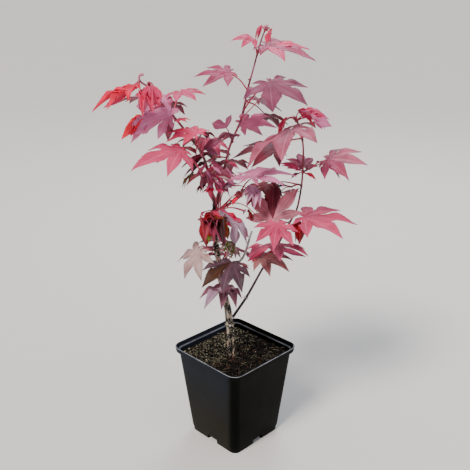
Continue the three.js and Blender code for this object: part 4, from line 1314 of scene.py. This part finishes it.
def buildPot():
    levels = potForm["outside"] + potForm["inside"]
    rings = [turned(squareRing(*level, potForm["cornerSteps"]), potForm["turn"]) for level in levels]
    pot = meshObject("pot_shell", *ringSkin(rings), [potMaterial()], smooth=False)
    width, depth, height = potForm["notch"]
    foot, wall, radius = potForm["footHalf"], potForm["hoodWall"], potForm["hole"] / 2
    (inset, above), (out, below) = potForm["hoodStart"], potForm["notchClear"]
    half = width / 2 + wall
    for side in range(4):
        turn = potForm["turn"] + side * 90
        hood = boxPiece("hood", -half, half, inset - foot, depth + wall - foot, above, height + wall, turn)
        pot = joinBy(pot, hood, "UNION")
        notch = boxPiece("notch", -width / 2, width / 2, -foot - out, depth - foot, -below, height, turn)
        pot = joinBy(pot, notch, "DIFFERENCE")
        x, y = turned([(potForm["holePlace"], potForm["holePlace"], 0)], turn)[0][:2]
        angles = [2 * math.pi * k / potForm["holeSides"] for k in range(potForm["holeSides"])]
        rings = [[(x + radius * math.cos(a), y + radius * math.sin(a), z) for a in angles]
                 for z in potForm["holeDepth"]]
        pot = joinBy(pot, meshObject("hole", *ringSkin(rings), smooth=False), "DIFFERENCE")
    pot.data.shade_smooth()
    pot.data.set_sharp_from_angle(angle=rad(potForm["smoothBelow"]))
    keepPiece(pot, "pot_plastic", "pot")


buildPot()
print("pot moulded")


# compost: an uneven moist bed inside the pot, then crumbs, bark bits, fibres and white grit on it

compostForm = {
    "wallHeight": 90,
    "wallSide": 78.3,
    "cornerRadius": 6,
    "cornerSteps": 6,
    "below": [(2.3, 59.9, 6), (7.4, 62.6, 6), (60, 72.9, 6)],
    "rise": [(0, -5), (0.4, -5), (0.58, -4), (0.8, -1.75), (0.9, -0.7), (1.0, 0)],  # share of the way out, mm
    "rings": 26,
    "ringShare": 0.985,  # how far in the last ring lies
    "lump": 0.7,  # mm
    "lumpGrain": 0.13,
    "lumpSeed": 3.1,
    "sink": 0.4,
    "footShare": 0.3,  # how far out the fibres and litter take the bed's height
}
compostLook = {
    "patchSize": 16,  # mm across a patch of olive or reddish peat
    "patchSpread": 40,  # mm by which patches move the edge between the two
    "slant": -0.8,  # that edge runs from the front left to the back right
    "edge": (12, 30),
    "peatEdge": (0.4, 0.56),
    "dryEdge": (0.53, 0.63),
    "bump": (0.8, 0.8),
}


def bedHeight(x, y, share):
    grain = compostForm["lumpGrain"]
    swell = noise.fractal(Vector((x * grain, y * grain, compostForm["lumpSeed"])), 0.9, 2.1, 4)
    rise = float(np.interp(share, *zip(*compostForm["rise"])))
    return compostForm["wallHeight"] + rise + compostForm["lump"] * swell - compostForm["sink"]


def bedRings():
    rings, steps = [], compostForm["cornerSteps"]
    for r in range(compostForm["rings"] + 1):
        share = 1 - r / compostForm["rings"] * compostForm["ringShare"]
        side, radius = compostForm["wallSide"] * share, compostForm["cornerRadius"] * share
        ring = turned(squareRing(0, side, radius, steps), potForm["turn"])
        rings.append([(x, y, bedHeight(x, y, share)) for x, y, _ in ring])
    return rings


# peat-based compost, crumbled and moist: nearly black brown, clouded with drier peat, olive at the left
# and back and dark reddish with bark at the right and front
def compostMaterial(name, dark, base, olive, reddish, size):
    look = compostLook
    material, tree, shader = newMaterial(name, {"Roughness": 0.9, "IOR": 1.4, "Specular IOR Level": 0.3})
    place = surfacePlace(tree)
    x, y, _ = axesOf(tree, place)
    peat = clouded(tree, place, size, 8.0, 0.7)
    patch = clouded(tree, place, look["patchSize"], 3.0)
    slanted = maths(tree, "MULTIPLY_ADD", y, look["slant"], x)
    side = maths(tree, "MULTIPLY_ADD", patch, look["patchSpread"] * mm, slanted)
    reddening = mapped(tree, side, *(edge * mm for edge in look["edge"]))
    dry = blended(tree, reddening, linear(olive), linear(reddish))
    ramp = addNode(tree, "ShaderNodeValToRGB", {0: peat})
    low, high = ramp.color_ramp.elements
    low.position, high.position = look["peatEdge"]
    low.color, high.color = linear(dark), linear(base)
    colour = blended(tree, mapped(tree, peat, *look["dryEdge"]), ramp.outputs[0], dry)
    dressShader(tree, shader, colour, peat, *look["bump"])
    return material


scatterForm = {  # one crumb or fibre, in its own half sizes
    "fibreBend": {"Resolution": 6, "Start": (-1.0, 0, 0), "Middle": (0, 0.35, 0.3), "End": (1.0, 0.1, 0)},
    "fibreRing": {"Resolution": 4, "Radius": 0.045},
    "lumps": 1.3,
    "crumbWidth": 0.75,
    "fibreTilt": 0.5,  # radians either way, then about the upright
    "crumbTilt": 3.1,
    "turn": 3.14,
}


def scatterTree(name, fibre):
    tree, given = newTree(name, [("Density", "Float"), ("Smallest", "Float"), ("Largest", "Float"),
                                 ("Flatness", "Float"), ("Seed", "Int"), ("Material", "Material")])
    spread = addNode(tree, "GeometryNodeDistributePointsOnFaces", {
        "Mesh": given["Geometry"], "Density": given["Density"], "Seed": given["Seed"]})
    if fibre:
        line = addNode(tree, "GeometryNodeCurveQuadraticBezier", scatterForm["fibreBend"])
        thin = addNode(tree, "GeometryNodeCurvePrimitiveCircle", scatterForm["fibreRing"])
        bit = addNode(tree, "GeometryNodeCurveToMesh", {
            "Curve": line.outputs[0], "Profile Curve": thin.outputs[0], "Fill Caps": True}).outputs[0]
    else:
        ball = addNode(tree, "GeometryNodeMeshIcoSphere", {"Radius": 1.0, "Subdivisions": 1}).outputs[0]
        place = addNode(tree, "GeometryNodeInputPosition").outputs[0]
        cells = {"Vector": place, "Scale": scatterForm["lumps"]}
        lump = addNode(tree, "ShaderNodeTexNoise", cells).outputs[1]
        lump = addNode(tree, "ShaderNodeVectorMath", {0: lump, 1: (0.5, 0.5, 0.5)}, operation="SUBTRACT")
        lumpy = addNode(tree, "GeometryNodeSetPosition", {"Geometry": ball, "Offset": lump.outputs[0]})
        shape = {0: 1.0, 1: scatterForm["crumbWidth"], 2: given["Flatness"]}
        squash = addNode(tree, "ShaderNodeCombineXYZ", shape).outputs[0]
        flattened = {"Geometry": lumpy.outputs[0], "Scale": squash}
        bit = addNode(tree, "GeometryNodeTransform", flattened).outputs[0]
    tilt, turn = scatterForm["fibreTilt" if fibre else "crumbTilt"], scatterForm["turn"]
    spin = addNode(tree, "FunctionNodeRandomValue", {
        0: (-tilt, -tilt, -turn), 1: (tilt, tilt, turn), "Seed": given["Seed"]}, data_type="FLOAT_VECTOR")
    size = addNode(tree, "FunctionNodeRandomValue", {
        2: given["Smallest"], 3: given["Largest"], "Seed": given["Seed"]}, data_type="FLOAT")
    sown = addNode(tree, "GeometryNodeInstanceOnPoints", {
        "Points": spread.outputs[0], "Instance": bit, "Rotation": spin.outputs[0], "Scale": size.outputs[1]})
    endTree(tree, sown.outputs[0], given["Material"])
    return tree


# each kind: tree, pieces a square metre, half sizes in mm, flatness, seed, then colours and cloud size
bits = {
    "peat_crumbs": ("crumb", 260000, 0.5, 1.3, 0.8, 3, ("#040302", "#0c0907", "#aaa488", "#322a20", 1.6)),
    "coarse_crumbs": ("crumb", 42000, 1.2, 2.4, 0.7, 5, ("#050303", "#0e0b08", "#aca68a", "#382d22", 2.4)),
    "tan_fibres": ("fibre", 26000, 1.6, 5.0, 1, 9, ("#4a4434", "#847c64", "#bcb698", "#7a5c4c", 2)),
    "bark_chips": ("crumb", 9000, 1.4, 3.2, 0.28, 13, ("#1a100c", "#342018", "#5c4a38", "#523228", 3)),
    "white_grit": ("crumb", 1500, 0.5, 1.0, 0.8, 21, ("#8e8a80", "#b4b0a6", "#dad7ce", "#e2ded6", 2)),
}


def buildCompost():
    top = bedRings()
    below = [turned(squareRing(*level, compostForm["cornerSteps"]), potForm["turn"])
             for level in compostForm["below"]]
    look = compostMaterial("moistPeatCompost", "#080605", "#16100c", "#5c563e", "#20170f", 4)
    keepPiece(meshObject("compost_bed", *ringSkin(below + top), [look]), "compost", "compost")
    trees = {"crumb": scatterTree("scatterCrumbs", False), "fibre": scatterTree("scatterFibres", True)}
    for name, (kind, density, smallest, largest, flatness, seed, colours) in bits.items():
        surface = meshObject(name + "_ground", *ringSkin(top[1:]))
        look = compostMaterial(name + "Peat", *colours)
        values = {"Density": float(density), "Smallest": smallest * mm, "Largest": largest * mm,
                  "Flatness": float(flatness), "Seed": seed, "Material": look}
        keepPiece(growWith(surface, trees[kind], values, name), "compost", "compost")


# coarse reddish root fibres and litter heaped round the foot of the stems
def buildFootFibres():
    form, draw = footFibres, seededRandom(31)
    lines = []
    for _ in range(form["count"]):
        away = form["spread"] * draw() ** form["crowding"]
        turn, lean = 2 * math.pi * draw(), 2 * math.pi * draw()
        x = form["middle"][0] + away * math.cos(turn)
        y = form["middle"][1] + away * math.sin(turn)
        z = bedHeight(x, y, compostForm["footShare"]) + form["above"]
        half = form["half"] * (form["halfLeast"] + draw())
        dx, dy = half * math.cos(lean), half * math.sin(lean)
        loop = form["loop"][0] + form["loop"][1] * draw()
        ends = (x - dx, y - dy, z), (x + dx, y + dy, z + form["endLift"] * draw())
        lines.append(smoothLine([ends[0], (x, y, z + loop), ends[1]], form["girths"]))
    barkLooks["rootFibre"] = barkMaterial("rootFibre", [(0, "#5c3a2e")], "#281812", "#86685a", 3, 0.8)
    growStem("foot_fibres", lines, "rootFibre", "compost", ["compost"], *form["skin"])


def buildPlacedBits():
    rows = []
    for x, y, length, width, turn in placedBits:
        direction = (math.cos(rad(turn)), math.sin(rad(turn)), litter["lean"])
        lying = bedHeight(x, y, compostForm["footShare"]) + width * litter["above"]
        rows.append(((x, y, lying), direction, length, width))
    look = barkMaterial("paleLitter", [(0, "#c8c2b6")], "#8c8272", "#ece8e0", 2, 0.85)
    keepPiece(meshObject("placed_bits", *budRows(rows), [look]), "compost", "compost")


footFibres = {
    "count": 90,
    "middle": (-1, -4),
    "spread": 11,
    "crowding": 0.6,  # at 0.5 they would lie evenly, above it they crowd inwards
    "above": 0.4,
    "half": 3.6,
    "halfLeast": 0.5,
    "loop": (1.5, 2.5),
    "endLift": 0.6,
    "girths": (0.3, 0.22),
    "skin": (6, 0.05, 1500.0),
}
litter = {"lean": 0.12, "above": 0.3}
placedBits = [  # pale litter on the compost: place, length, width and turn
    (-13, 0.5, 3.4, 3, 20), (5.9, -7.2, 3, 2.6, 100), (35.7, -4.9, 6.5, 1.6, 35), (-24, -6, 3, 2, 60),
    (-9, 19, 2.4, 2, 10), (14, 12, 2.6, 2, 140), (22, -16, 2.4, 1.8, 80), (-30, 8, 2.4, 2, 0),
]
buildCompost()
buildFootFibres()
buildPlacedBits()
print("compost laid")


# stage, light and camera

stageForm = {
    "floorHalf": 40000,  # mm
    "sky": ("#eaeef4", 0.5),
    "key": ((-0.55, -0.75, 1.1), 3.4, 18, "#fff6ee"),  # direction, strength, spread in degrees
    "fill": ((1.0, -0.8, 0.7), 0.9, 3, "#eef4ff"),  # place and size in metres, watts
    "back": ((0.2, 0.9, 1.2), 0.7, 8, "#eef4ff"),
    "aim": (0, 0, 0.2),
    "camera": (0, -0.614, 0.444),
    "tilt": 69.5,  # 20.5 degrees below level
    "sensor": 36,
    "focalPixels": 700,  # of the photo, which is 470 wide
    "photoPixels": 470,
}


def areaLight(name, place, size, power, colour):
    light = bpy.data.lights.new(name, "AREA")
    light.shape, light.size, light.energy, light.color = "DISK", size, power, linear(colour)[:3]
    lamp = newObject(name, light)
    lamp.location = place
    lamp.rotation_euler = (Vector(stageForm["aim"]) - Vector(place)).to_track_quat("-Z", "Y").to_euler()


def sunLight(name, place, power, spread, colour):
    light = bpy.data.lights.new(name, "SUN")
    light.energy, light.angle, light.color = power, rad(spread), linear(colour)[:3]
    newObject(name, light).rotation_euler = (-Vector(place)).to_track_quat("-Z", "Y").to_euler()


def buildStage():
    half = stageForm["floorHalf"]
    corners = [(x * half, y * half, 0) for x, y in ((-1, -1), (1, -1), (1, 1), (-1, 1))]
    look = newMaterial("palePaperFloor", {"Base Color": linear("#e4e2de"), "Roughness": 0.85})[0]
    floor = meshObject("floor", corners, [[0, 1, 2, 3]], [look], smooth=False)
    world = bpy.data.worlds.new("studio")
    world.use_nodes = True
    sky = world.node_tree.nodes["Background"].inputs
    sky[0].default_value, sky[1].default_value = linear(stageForm["sky"][0]), stageForm["sky"][1]
    bpy.context.scene.world = world
    sunLight("key", *stageForm["key"])
    areaLight("fill", *stageForm["fill"])
    areaLight("back", *stageForm["back"])
    camera = newObject("camera", bpy.data.cameras.new("camera"))
    camera.location = stageForm["camera"]
    camera.rotation_euler = (rad(stageForm["tilt"]), 0, 0)
    camera.data.sensor_width = stageForm["sensor"]
    camera.data.lens = stageForm["sensor"] * stageForm["focalPixels"] / stageForm["photoPixels"]
    bpy.context.scene.camera = camera


buildStage()
print("stage set")
